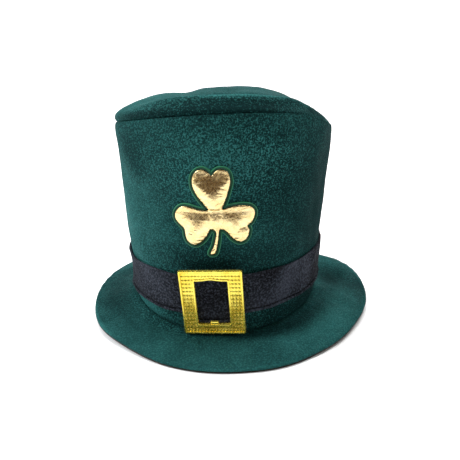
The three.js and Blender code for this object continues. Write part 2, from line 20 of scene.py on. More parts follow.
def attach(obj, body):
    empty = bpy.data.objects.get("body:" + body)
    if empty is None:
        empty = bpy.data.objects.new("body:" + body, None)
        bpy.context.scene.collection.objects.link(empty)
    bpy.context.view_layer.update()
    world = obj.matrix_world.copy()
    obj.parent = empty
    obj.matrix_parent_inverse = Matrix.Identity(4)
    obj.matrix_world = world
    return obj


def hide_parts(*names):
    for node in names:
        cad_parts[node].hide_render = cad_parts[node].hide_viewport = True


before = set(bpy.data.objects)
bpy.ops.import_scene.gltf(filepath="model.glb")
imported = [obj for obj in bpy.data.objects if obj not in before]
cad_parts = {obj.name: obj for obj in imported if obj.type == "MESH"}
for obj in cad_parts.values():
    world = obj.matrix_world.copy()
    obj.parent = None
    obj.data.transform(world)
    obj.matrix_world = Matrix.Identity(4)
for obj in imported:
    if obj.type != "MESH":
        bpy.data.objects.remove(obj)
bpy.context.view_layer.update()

log = logging.getLogger("hat")
Array = np.ndarray
METRE = 0.001
BODY = "root"


def smooth(value: Array, low: float, high: float) -> Array:
    """0 below low, 1 above high, and a smooth cubic step between them."""
    t = np.clip((value - low) / (high - low), 0.0, 1.0)
    return t * t * (3.0 - 2.0 * t)


def mix(first: Array, second: Array, share: Array) -> Array:
    """The straight line from first to second."""
    return first + (second - first) * share


def bump(value: Array, middle: float, width: float) -> Array:
    """A bell of height 1 round middle, e to the minus square of the distance in widths."""
    return np.exp(-(((value - middle) / width) ** 2))


def away(angle: Array, middle: float) -> Array:
    """Signed degrees from middle to angle, the short way round."""
    return np.mod(angle - middle + 180.0, 360.0) - 180.0


def angle_bump(angle: Array, middle: float, spread: float) -> Array:
    """The same bell round an angle."""
    return np.exp(-((away(angle, middle) / spread) ** 2))


def angle_span(angle: Array, start: float, end: float) -> Array:
    """1 between two angles, falling smoothly to 0 past each end."""
    middle, half = (start + end) / 2.0, (end - start) / 2.0
    return 1.0 - smooth(np.abs(away(angle, middle)), half * 0.55, half * 1.25)


def spots(table: tuple, angle: Array, share: Array) -> Array:
    """A sum of bells in angle and share.

    Args:
        table: For each bell its angle and spread, its place and half width as shares, its size.
        angle: Degrees round the hat.
        share: The share of a height, radius or width.

    Returns:
        The sum for each angle and share.
    """
    return sum(
        size * angle_bump(angle, at, spread) * bump(share, place, wide)
        for at, spread, place, wide, size in table
    )


def ripples(points: Array, length: float, seed: int, count: int = 9) -> Array:
    """A smooth random field of about unit size over points.

    It is a sum of plane waves whose directions, lengths and phases come from a seeded generator.

    Args:
        points: Places, with x, y and z in the last axis.
        length: The mean wave length.
        seed: The generator's seed.
        count: How many waves are added.

    Returns:
        One number for each point.
    """
    rng = np.random.default_rng(seed)
    normal = rng.normal(size=(count, 3))
    normal /= np.linalg.norm(normal, axis=1, keepdims=True)
    size = length * rng.uniform(0.65, 1.6, count)
    phase = rng.uniform(0.0, 2.0 * np.pi, count)
    waves = np.sin(points @ normal.T * (2.0 * np.pi / size) + phase)
    return waves.sum(axis=-1) / math.sqrt(count / 2.0)


def grid_faces(rows: int, columns: int, wrap_rows: bool, wrap_columns: bool) -> tuple[Array, Array]:
    """Four-sided faces over a grid of points.

    Args:
        rows: How many rows of points.
        columns: How many points in a row.
        wrap_rows: Whether the last row joins the first.
        wrap_columns: Whether the last column joins the first.

    Returns:
        The faces' point numbers, and each corner's share of the way along rows and columns.
    """
    i = np.arange(rows if wrap_rows else rows - 1)[:, None]
    j = np.arange(columns if wrap_columns else columns - 1)[None, :]
    steps = ((0, 0), (1, 0), (1, 1), (0, 1))
    faces = [((i + a) % rows) * columns + (j + b) % columns for a, b in steps]
    shares = [
        np.stack(np.broadcast_arrays((i + a) / len(i), (j + b) / j.shape[1]), axis=-1)
        for a, b in steps
    ]
    quads = np.stack(faces, axis=-1).reshape(-1, 4)
    return quads, np.stack(shares, axis=-2).reshape(-1, 4, 2)


def signed_volume(points: Array, faces: Array) -> float:
    """A closed surface's volume, below 0 if its faces point inwards: a sixth of the sum of
    the triple products of each triangle's corners.

    Args:
        points: The surface's points.
        faces: Its faces, by point numbers.

    Returns:
        The volume.
    """
    total = 0.0
    for k in range(1, faces.shape[1] - 1):
        a, b, c = points[faces[:, 0]], points[faces[:, k]], points[faces[:, k + 1]]
        total += float(np.einsum("ij,ij->i", a, np.cross(b, c)).sum()) / 6.0
    return total


@dataclass
class Skin:
    """Points and faces of one surface, with its corners' flat places for a pattern."""

    points: Array
    faces: list[Array]
    places: list[Array]

    def joined(self, other: "Skin") -> "Skin":
        """This skin and another as one.

        Args:
            other: The other skin.

        Returns:
            Both in one.
        """
        count = len(self.points)
        return Skin(
            np.concatenate([self.points, other.points]),
            self.faces + [f + count for f in other.faces],
            self.places + other.places,
        )

    def outward(self) -> "Skin":
        """The same closed skin with its faces pointing out.

        Returns:
            This skin.
        """
        if sum(signed_volume(self.points, f) for f in self.faces) < 0.0:
            self.faces = [f[:, ::-1] for f in self.faces]
            self.places = [p[:, ::-1] for p in self.places]
        return self


def ring_skin(points: Array, around: float, along: float) -> Skin:
    """A ring-shaped body from section loops.

    Args:
        points: Loops round the hat, each with its section's points, and x, y, z.
        around: Length round the ring, for the pattern's places.
        along: Length round the section.

    Returns:
        The closed skin.
    """
    quads, shares = grid_faces(points.shape[0], points.shape[1], True, True)
    places = shares * np.array([around, along]) / 100.0
    return Skin(points.reshape(-1, 3), [quads], [places]).outward()


def capped_skin(points: Array, first: Array, last: Array, around: float, along: float) -> Skin:
    """A body from rings that are closed at both ends by a fan round a middle point.

    Args:
        points: Spokes round the middle, each with its points from one end to the other.
        first: The middle point in front of each spoke's first point.
        last: The middle point behind each spoke's last point.
        around: Length round the rings, for the pattern's places.
        along: Length of a spoke.

    Returns:
        The closed skin.
    """
    spokes, length = points.shape[:2]
    quads, shares = grid_faces(spokes, length, True, False)
    here = np.arange(spokes) * length
    after = np.roll(here, -1)
    top, low = spokes * length, spokes * length + 1
    fans = np.concatenate([
        np.stack([np.full(spokes, top), here, after], axis=1),
        np.stack([np.full(spokes, low), after + length - 1, here + length - 1], axis=1),
    ])
    flat = np.zeros((len(fans), 3, 2))
    # The quads run spoke, next spoke, so a fan that starts at the middle has the other turn.
    skin = Skin(
        np.concatenate([points.reshape(-1, 3), [first, last]]),
        [quads, fans[:, ::-1]],
        [shares * np.array([around, along]) / 100.0, flat],
    )
    return skin.outward()


def put_mesh(
    name: str, skin: Skin, numbers: dict[str, Array] | None = None, crisp: float | None = None
) -> bpy.types.Object:
    """Makes a piece from a skin, in metres, with its object at the origin.

    Args:
        name: The piece's name.
        skin: The surface, in millimetres.
        numbers: Named values for each point, kept as attributes for the material.
        crisp: The angle in degrees past which an edge stays sharp, or None for smooth all over.

    Returns:
        The piece, linked to the scene.
    """
    mesh = bpy.data.meshes.new(name)
    faces = [row for block in skin.faces for row in block.tolist()]
    mesh.from_pydata((skin.points * METRE).tolist(), [], faces)
    layer = mesh.uv_layers.new(name="places")
    flat = np.concatenate([p.reshape(-1, 2) for p in skin.places])
    layer.data.foreach_set("uv", flat.astype(np.float32).ravel())
    for key, values in (numbers or {}).items():
        attribute = mesh.attributes.new(key, "FLOAT", "POINT")
        attribute.data.foreach_set("value", values.astype(np.float32).ravel())
    mesh.polygons.foreach_set("use_smooth", np.ones(len(mesh.polygons), dtype=bool))
    if crisp is not None:
        mesh.set_sharp_from_angle(angle=math.radians(crisp))
    mesh.validate(clean_customdata=False)
    mesh.update()
    piece = bpy.data.objects.new(name, mesh)
    bpy.context.scene.collection.objects.link(piece)
    return piece


class Signal:
    """A number that varies over a surface. Arithmetic on it adds Math nodes."""

    def __init__(self, bench: "Bench", socket: bpy.types.NodeSocket) -> None:
        """Keeps the bench that the nodes are added to, and the socket."""
        self.bench = bench
        self.socket = socket

    def _with(self, operation: str, other: "Signal | float", turned: bool = False) -> "Signal":
        """Adds a Math node on this signal and another value, in turned order if asked.

        Args:
            operation: The Math node's operation.
            other: The other value.
            turned: Whether the other value comes first.

        Returns:
            The result.
        """
        pair = (other, self) if turned else (self, other)
        made = self.bench.node("ShaderNodeMath", {0: pair[0], 1: pair[1]}, operation=operation)
        return Signal(self.bench, made.outputs[0])

    def __add__(self, other: "Signal | float") -> "Signal":
        """Sum."""
        return self._with("ADD", other)

    def __sub__(self, other: "Signal | float") -> "Signal":
        """Difference."""
        return self._with("SUBTRACT", other)

    def __rsub__(self, other: float) -> "Signal":
        """Difference from a number."""
        return self._with("SUBTRACT", other, turned=True)

    def __mul__(self, other: "Signal | float") -> "Signal":
        """Product."""
        return self._with("MULTIPLY", other)

    __radd__ = __add__
    __rmul__ = __mul__


class Bench:
    """The node tree of one material or world, and the tools that fill it."""

    def __init__(self, owner: bpy.types.Material | bpy.types.World) -> None:
        """Empties the owner's node tree."""
        owner.use_nodes = True
        self.owner = owner
        self.tree = owner.node_tree
        self.tree.nodes.clear()

    def node(self, kind: str, inputs: dict[Any, Any] | None = None, **settings: Any) -> bpy.types.Node:
        """Adds any node.

        Args:
            kind: The node's type.
            inputs: Values or links for its sockets, by name or number.
            settings: The node's own settings, set before its sockets.

        Returns:
            The node.
        """
        made = self.tree.nodes.new(kind)
        for key, value in settings.items():
            setattr(made, key, value)
        for key, value in (inputs or {}).items():
            if isinstance(value, Signal):
                self.tree.links.new(value.socket, made.inputs[key])
            elif isinstance(value, bpy.types.NodeSocket):
                self.tree.links.new(value, made.inputs[key])
            elif isinstance(value, tuple) and len(value) == 3 and made.inputs[key].type == "RGBA":
                made.inputs[key].default_value = (*value, 1.0)
            else:
                made.inputs[key].default_value = value
        return made

    def places(
        self, stretch: tuple[float, float, float] = (1.0, 1.0, 1.0), flat: bool = False
    ) -> bpy.types.NodeSocket:
        """The object's own coordinates, or the piece's flat places, stretched along each axis."""
        source = self.node("ShaderNodeTexCoord").outputs["UV" if flat else "Object"]
        return self.node("ShaderNodeMapping", {"Vector": source, "Scale": stretch}).outputs[0]

    def noise(
        self, places: bpy.types.NodeSocket, scale: float,
        detail: float = 3.0, rough: float = 0.55, twist: float = 0.0,
    ) -> Signal:
        """Noise of mean one half, whose grains are about one over scale across."""
        values = {"Vector": places, "Scale": scale, "Detail": detail, "Roughness": rough}
        values["Distortion"] = twist
        return Signal(self, self.node("ShaderNodeTexNoise", values).outputs[0])

    def number(self, name: str) -> Signal:
        """A named value that the mesh carries for each point."""
        return Signal(self, self.node("ShaderNodeAttribute", attribute_name=name).outputs["Fac"])

    def step(self, signal: Signal, low: float, high: float, start: float = 0.0, end: float = 1.0) -> Signal:
        """start below low, end above high, and a smooth step between them.

        Args:
            signal: The number to be stepped.
            low: Where the step starts.
            high: Where it ends.
            start: The value below it.
            end: The value above it.

        Returns:
            The stepped number.
        """
        values = {"Value": signal, "From Min": low, "From Max": high, "To Min": start, "To Max": end}
        made = self.node("ShaderNodeMapRange", values, interpolation_type="SMOOTHSTEP")
        return Signal(self, made.outputs[0])

    def tint(self, share: Signal, first: Any, second: Any, blend: str = "MIX") -> bpy.types.NodeSocket:
        """A colour between two, through a Mix node."""
        values = {0: share, 6: first, 7: second}
        return self.node("ShaderNodeMix", values, data_type="RGBA", blend_type=blend).outputs[2]

    def relief(
        self, height: Signal, depth: float, strength: float = 1.0, over: Any = None
    ) -> bpy.types.NodeSocket:
        """A Bump node: height from 0 to 1 stands depth metres high.

        Args:
            height: The relief, from 0 to 1.
            depth: Its height in metres.
            strength: How much of it is used.
            over: A coarser relief that it lies on.

        Returns:
            The bent surface's direction.
        """
        values = {"Height": height, "Distance": depth, "Strength": strength}
        if over is not None:
            values["Normal"] = over
        return self.node("ShaderNodeBump", values).outputs[0]

    def surface(self, **sockets: Any) -> bpy.types.Material:
        """Ends the tree in a Principled shader, whose sockets are given with _ for a space.

        Args:
            sockets: The shader's values and links.

        Returns:
            The material.
        """
        values = {key.replace("_", " "): value for key, value in sockets.items()}
        shader = self.node("ShaderNodeBsdfPrincipled", values)
        self.node("ShaderNodeOutputMaterial", {"Surface": shader.outputs[0]})
        return self.owner


Colour = tuple[float, float, float]


@dataclass(frozen=True)
class Velour:
    """Brushed pile cloth: a dark ground, paler where the pile is brushed up or where light is painted on,
    darker where shade is painted on, with a soft sheen.
    """

    name: str
    dark: Colour
    light: Colour
    sheen: float
    sheen_colour: Colour
    patch: float = 24.0
    tuft: float = 720.0
    fibre: float = 1500.0
    patch_lift: float = 0.6
    tuft_lift: float = 0.95
    fibre_lift: float = 0.8

    def material(self) -> bpy.types.Material:
        """Builds the finish. The pile's lightness is the piece's own nap value, which holds brushed pile
        and painted light and shade, with broad brushed patches, and with tufts and fibres that show as much
        as its grain value says.

        Returns:
            The material.
        """
        bench = Bench(bpy.data.materials.new(self.name))
        places = bench.places()
        patches = bench.noise(places, self.patch, 4.0, 0.6, 0.6)
        tufts = bench.step(bench.noise(places, self.tuft, 3.0, 0.6), 0.42, 0.70)
        fibres = bench.noise(places, self.fibre, 2.0, 0.6)
        # The nap value holds painted light and shade as well as the brushed pile.
        lift = bench.number("nap") + (patches - 0.5) * self.patch_lift
        pile = (tufts - 0.34) * self.tuft_lift + (fibres - 0.5) * self.fibre_lift
        lift = lift + pile * bench.number("grain")
        colour = bench.tint(bench.step(lift, -0.1, 1.6), self.dark, self.light)
        rough = bench.relief(fibres, 0.0004, 0.5)
        normal = bench.relief(tufts, 0.0007, 0.5, rough)
        return bench.surface(
            Base_Color=colour,
            Roughness=bench.step(patches, 0.3, 0.7, 0.95, 0.8),
            Specular_IOR_Level=0.04,
            Sheen_Weight=self.sheen,
            Sheen_Roughness=0.38,
            Sheen_Tint=(*self.sheen_colour, 1.0),
            Normal=normal,
        )


GREEN_VELOUR = Velour(
    "green_velour", (0.0020, 0.0145, 0.0150), (0.0290, 0.1510, 0.1450), 0.035, (0.2, 0.9, 0.85)
)
BLACK_VELOUR = Velour(
    "black_velour", (0.0030, 0.0033, 0.0042), (0.049, 0.058, 0.078), 0.04, (0.7, 0.75, 0.9), tuft=560.0
)


@dataclass(frozen=True)
class LiningCloth:
    """Thin plain-woven lining: fine threads both ways, with slight thick and thin places."""

    name: str = "lining_cloth"
    dark: Colour = (0.020, 0.013, 0.011)
    light: Colour = (0.062, 0.043, 0.036)
    threads: float = 90.0

    def material(self) -> bpy.types.Material:
        """Builds the finish from two crossed sine waves on the flat places.

        Returns:
            The material.
        """
        bench = Bench(bpy.data.materials.new(self.name))
        split = bench.node("ShaderNodeSeparateXYZ", {0: bench.places(flat=True)})
        turns = 2.0 * math.pi * self.threads
        waves = [
            Signal(bench, bench.node(
                "ShaderNodeMath", {0: Signal(bench, split.outputs[k]) * turns}, operation="SINE"
            ).outputs[0])
            for k in (0, 1)
        ]
        weave = waves[0] * waves[1] * 0.5 + 0.5
        slubs = bench.noise(bench.places((1.0, 1.0, 1.0)), 90.0, 4.0, 0.6)
        colour = bench.tint(bench.step(weave * 0.5 + slubs, 0.4, 1.1), self.dark, self.light)
        return bench.surface(
            Base_Color=colour,
            Roughness=bench.step(slubs, 0.3, 0.7, 0.7, 0.88),
            Specular_IOR_Level=0.25,
            Sheen_Weight=0.2,
            Normal=bench.relief(weave, 0.00025, 0.6),
        )


@dataclass(frozen=True)
class GoldPlastic:
    """Gold plated plastic: a bright mirror with small scuffs and a slightly wavy skin."""

    name: str = "gold_plastic"
    bright: Colour = (0.93, 0.77, 0.125)
    deep: Colour = (0.80, 0.60, 0.06)

    def material(self) -> bpy.types.Material:
        """Builds the finish: scuffs raise the roughness, slow waves bend the reflections.

        Returns:
            The material.
        """
        bench = Bench(bpy.data.materials.new(self.name))
        places = bench.places()
        cloud = bench.noise(places, 60.0, 3.0, 0.5)
        scuff = bench.step(bench.noise(bench.places((1.0, 1.0, 0.2)), 900.0, 3.0, 0.7), 0.55, 0.75)
        waves = bench.noise(places, 260.0, 2.0, 0.5)
        return bench.surface(
            Base_Color=bench.tint(bench.step(cloud, 0.35, 0.65), self.deep, self.bright),
            Metallic=0.74,
            Roughness=bench.step(scuff * 0.6 + cloud * 0.4, 0.1, 0.9, 0.22, 0.38),
            Normal=bench.relief(waves, 0.0002, 0.12),
        )


@dataclass(frozen=True)
class GoldLame:
    """Foil-coated cloth: a soft mirror over fine crumples and a faint knit."""

    name: str = "gold_lame"
    pale: Colour = (0.78, 0.63, 0.34)
    deep: Colour = (0.74, 0.55, 0.25)

    def material(self) -> bpy.types.Material:
        """Builds the finish: two sizes of crumple and a faint knit bend the reflections.

        Returns:
            The material.
        """
        bench = Bench(bpy.data.materials.new(self.name))
        places = bench.places()
        folds = bench.noise(bench.places((1.0, 1.0, 2.0)), 105.0, 3.0, 0.5, 0.9)
        crumple = bench.noise(places, 420.0, 3.0, 0.55, 0.5)
        knit = bench.noise(places, 2600.0, 1.0, 0.5)
        normal = bench.relief(folds, 0.0007, 0.36)
        normal = bench.relief(crumple, 0.0002, 0.13, normal)
        normal = bench.relief(knit, 0.0001, 0.10, normal)
        return bench.surface(
            Base_Color=bench.tint(bench.step(folds, 0.3, 0.7), self.deep, self.pale),
            Metallic=1.0,
            Roughness=bench.step(crumple, 0.3, 0.7, 0.17, 0.32),
            Normal=normal,
        )


@dataclass(frozen=True)
class SatinStitch:
    """Close stitches of shiny thread that cross the border, lighter at its outer side."""

    name: str = "satin_stitch"
    dark: Colour = (0.003, 0.040, 0.022)
    light: Colour = (0.035, 0.250, 0.120)
    threads: float = 210.0

    def material(self) -> bpy.types.Material:
        """Builds the finish: a sine wave along the border makes the threads.

        Returns:
            The material.
        """
        bench = Bench(bpy.data.materials.new(self.name))
        split = bench.node("ShaderNodeSeparateXYZ", {0: bench.places(flat=True)})
        along = Signal(bench, split.outputs[0])
        wobble = bench.noise(bench.places(), 700.0, 2.0, 0.5)
        turns = along * (2.0 * math.pi * self.threads) + wobble * 2.5
        wave = Signal(bench, bench.node("ShaderNodeMath", {0: turns}, operation="SINE").outputs[0])
        thread = wave * 0.5 + 0.5
        rim = bench.step(bench.number("outer"), 0.70, 0.86)
        share = bench.step(thread * 0.35 + rim * 0.75, 0.1, 1.0)
        return bench.surface(
            Base_Color=bench.tint(share, self.dark, self.light),
            Roughness=bench.step(thread, 0.0, 1.0, 0.66, 0.5),
            Specular_IOR_Level=0.2,
            Normal=bench.relief(thread, 0.0002, 0.7),
        )


@dataclass(frozen=True)
class StudioPaper:
    """Matt paper for the floor and the card."""

    name: str = "studio_paper"
    colour: Colour = (0.93, 0.93, 0.935)

    def material(self) -> bpy.types.Material:
        """Builds the finish, with a faint tooth in the paper.

        Returns:
            The material.
        """
        bench = Bench(bpy.data.materials.new(self.name))
        tooth = bench.noise(bench.places(), 900.0, 2.0, 0.5)
        return bench.surface(
            Base_Color=self.colour,
            Roughness=0.9,
            Specular_IOR_Level=0.1,
            Normal=bench.relief(tooth, 0.0001, 0.1),
        )


@dataclass
class HatForm:
    """The hat's shape, which its pieces share: the crown's wall as a flared tube between a
    saddle-shaped foot and a tilted rim, and the brim's saddle-shaped ring."""

    foot_radius: float = 94.0
    rim_radius: float = 104.0
    crown_height: float = 183.5
    crown_wall: float = 2.5
    crown_lean: float = 5.2
    rim_tuck: float = 1.2
    tuck_start: float = 0.78
    foot_saddle: float = 4.7
    foot_tilt: float = 3.6
    rim_saddle: float = 2.1
    rim_side_tilt: float = 3.7
    rim_back_tilt: float = 13.7
    rim_sag: float = 14.0
    rim_sag_spread: float = 33.0
    dent_depth: float = 1.4
    brim_radius: float = 143.2
    brim_shift: float = 5.8
    brim_drop: float = 7.8
    brim_saddle: float = 4.0
    brim_tilt: float = 1.6
    brim_thickness: float = 3.6
    brim_fold_height: float = 5.2
    lining_thickness: float = 1.0
    floor_press: float = 1.6
    clearance: float = 0.3
    curve_clearance: float = 0.5
    front: float = -90.0
    # Broad dents in the wall: angle, spread, height and tall as shares, depth as a share.
    dents: tuple = (
        (-128.0, 16.0, 0.62, 0.34, 0.9),
        (-58.0, 15.0, 0.66, 0.30, 1.0),
        (-22.0, 18.0, 0.34, 0.20, 0.6),
        (55.0, 24.0, 0.50, 0.30, 1.0),
        (140.0, 22.0, 0.60, 0.28, 0.8),
        (-178.0, 26.0, 0.16, 0.10, 1.4),
    )
    # Where the brim's edge reaches out or draws in: angle, spread, reach.
    brim_reaches: tuple = (
        (-124.0, 20.0, -3.4),
        (-52.0, 18.0, -1.6),
        (30.0, 17.0, 5.0),
        (150.0, 22.0, 1.2),
        (-147.0, 13.0, 2.6),
        (-25.0, 13.0, -2.2),
        (-66.0, 10.0, 1.6),
    )
    # Folds in the brim: angle, spread, place and half width as shares, height as a share.
    brim_folds: tuple = (
        (12.0, 11.0, 0.42, 0.40, -0.95),
        (33.0, 14.0, 0.74, 0.36, 1.15),
        (-68.0, 22.0, 0.55, 0.40, 0.4),
        (-122.0, 9.0, 0.16, 0.14, -0.35),
        (-172.0, 20.0, 0.50, 0.40, -0.5),
        (118.0, 24.0, 0.50, 0.40, 0.5),
    )

    @property
    def axis_x(self) -> float:
        """Where the crown's foot is centred."""
        return -self.brim_shift

    @property
    def brim_stack(self) -> float:
        """The brim and its lining together."""
        return self.brim_thickness + self.clearance + self.lining_thickness

    @property
    def joint(self) -> float:
        """Mean height of the seam between crown and brim."""
        return self.brim_drop + self.brim_saddle + self.brim_stack - self.floor_press

    def foot_height(self, angle: Array) -> Array:
        """Height of the crown's foot: a mean, a saddle (cosine of twice the angle) and a tilt."""
        a = np.radians(angle)
        return self.joint + self.foot_saddle * np.cos(2 * a) - self.foot_tilt * np.cos(a)

    def rim_height(self, angle: Array, share: Array | float = 1.0) -> Array:
        """Height of the rim's surface: tilts grow with the share of the radius, the saddle
        with its square and the sag at the side with its fourth power.

        Args:
            angle: Degrees round the hat, 0 at its right and -90 at its front.
            share: The share of the rim's radius.

        Returns:
            The height.
        """
        a = np.radians(angle)
        tilt = self.rim_side_tilt * np.cos(a) - self.rim_back_tilt * np.sin(a)
        saddle = -self.rim_saddle * np.cos(2 * a)
        sag = self.rim_sag * angle_bump(angle, 0.0, self.rim_sag_spread)
        return self.joint + self.crown_height + tilt * share + saddle * share**2 - sag * share**4

    def dent(self, angle: Array, share: Array) -> Array:
        """How far the wall is pushed in: a sum of bells in angle and height."""
        depth = spots(self.dents, angle, share) * self.dent_depth
        return depth * smooth(share, 0.0, 0.15) * (1 - smooth(share, 0.85, 1.0))

    def wall(self, angle: Array, share: Array, off: Array | float = 0.0) -> Array:
        """A point of the wall: the radius grows evenly from foot to rim, less the dents and
        the draw towards the rim's seam, and off is added to it.

        Args:
            angle: Degrees round the hat, 0 at its right and -90 at its front.
            share: The share of the height, 0 at the foot.
            off: The distance off the wall.

        Returns:
            The points.
        """
        a = np.radians(angle)
        tuck = self.rim_tuck * smooth(share, self.tuck_start, 1.0)
        radius = mix(self.foot_radius, self.rim_radius, share) - tuck - self.dent(angle, share) + off
        x = self.axis_x + self.crown_lean * share + radius * np.cos(a)
        z = mix(self.foot_height(angle), self.rim_height(angle), share)
        return np.stack(np.broadcast_arrays(x, radius * np.sin(a), z), axis=-1)

    def wall_at(self, angle: Array, height: Array, off: Array | float = 0.0) -> Array:
        """The same at a height above the mean seam."""
        foot = self.foot_height(angle)
        return self.wall(angle, (self.joint + height - foot) / (self.rim_height(angle) - foot), off)

    def brim_top(self, angle: Array, share: Array) -> Array:
        """Height of the brim's upper face: a straight run from the foot to the saddle-shaped
        edge, with folds that die away at both.

        Args:
            angle: Degrees round the hat, 0 at its right and -90 at its front.
            share: The share of the brim's width, 0 at the seam.

        Returns:
            The height.
        """
        a = np.radians(angle)
        edge = self.joint - self.brim_drop + self.brim_saddle * np.cos(2 * a) - self.brim_tilt * np.cos(a)
        fold = spots(self.brim_folds, angle, share)
        dying = np.clip(np.sin(np.pi * share), 0.0, 1.0) ** 0.7
        return mix(self.foot_height(angle), edge, share) + fold * self.brim_fold_height * dying

    def brim(self, angle: Array, share: Array, depth: Array | float, rise: Array | float = 0.0) -> Array:
        """A point of the brim at a share of its width and a depth under its upper face. Where
        the underside would pass through the floor the whole stack is lifted onto it.

        Args:
            angle: Degrees round the hat, 0 at its right and -90 at its front.
            share: The share of the brim's width.
            depth: How deep under the upper face.
            rise: What is added to the height.

        Returns:
            The points.
        """
        a = np.radians(angle)
        top = self.brim_top(angle, np.clip(share, 0.0, 1.0))
        lift = np.maximum(0.0, self.brim_stack - top)
        reach = sum(r * angle_bump(angle, at, spread) for at, spread, r in self.brim_reaches)
        radius = mix(self.foot_radius, self.brim_radius, share) + reach * share**2
        x = mix(self.axis_x, 0.0, share) + radius * np.cos(a)
        return np.stack(np.broadcast_arrays(x, radius * np.sin(a), top + lift - depth + rise), axis=-1)

    def under_wall(self, angle: Array, depth: Array) -> Array:
        """A point under the wall, inside the seam, at a depth below it.

        Args:
            angle: Degrees round the hat, 0 at its right and -90 at its front.
            depth: How deep under the seam.

        Returns:
            The points.
        """
        a = np.radians(angle)
        radius = self.foot_radius - self.crown_wall
        x = self.axis_x + radius * np.cos(a)
        z = self.foot_height(angle) - depth
        return np.stack(np.broadcast_arrays(x, radius * np.sin(a), z), axis=-1)


class Lay(Enum):
    STRETCHED = "stretched"
    GATHERED = "gathered"


def gathers(angle: Array, count: int, seed: int) -> Array:
    """Small puckers along a seam: a wave round the hat whose phase and size wander slowly.

    Args:
        angle: Degrees round the hat, 0 at its right and -90 at its front.
        count: How many puckers go round.
        seed: The generator's seed.

    Returns:
        A number from -1 to 1 for each angle.
    """
    a = np.radians(angle)
    rng = np.random.default_rng(seed)
    phase = sum(rng.uniform(0.5, 1.6) * np.sin(k * a + rng.uniform(0, 6.28)) for k in (2, 3, 5, 7))
    size = 0.55 + 0.45 * np.sin(4 * a + rng.uniform(0, 6.28)) * np.sin(9 * a + rng.uniform(0, 6.28))
    return size * np.sin(count * a + 3.0 * phase)


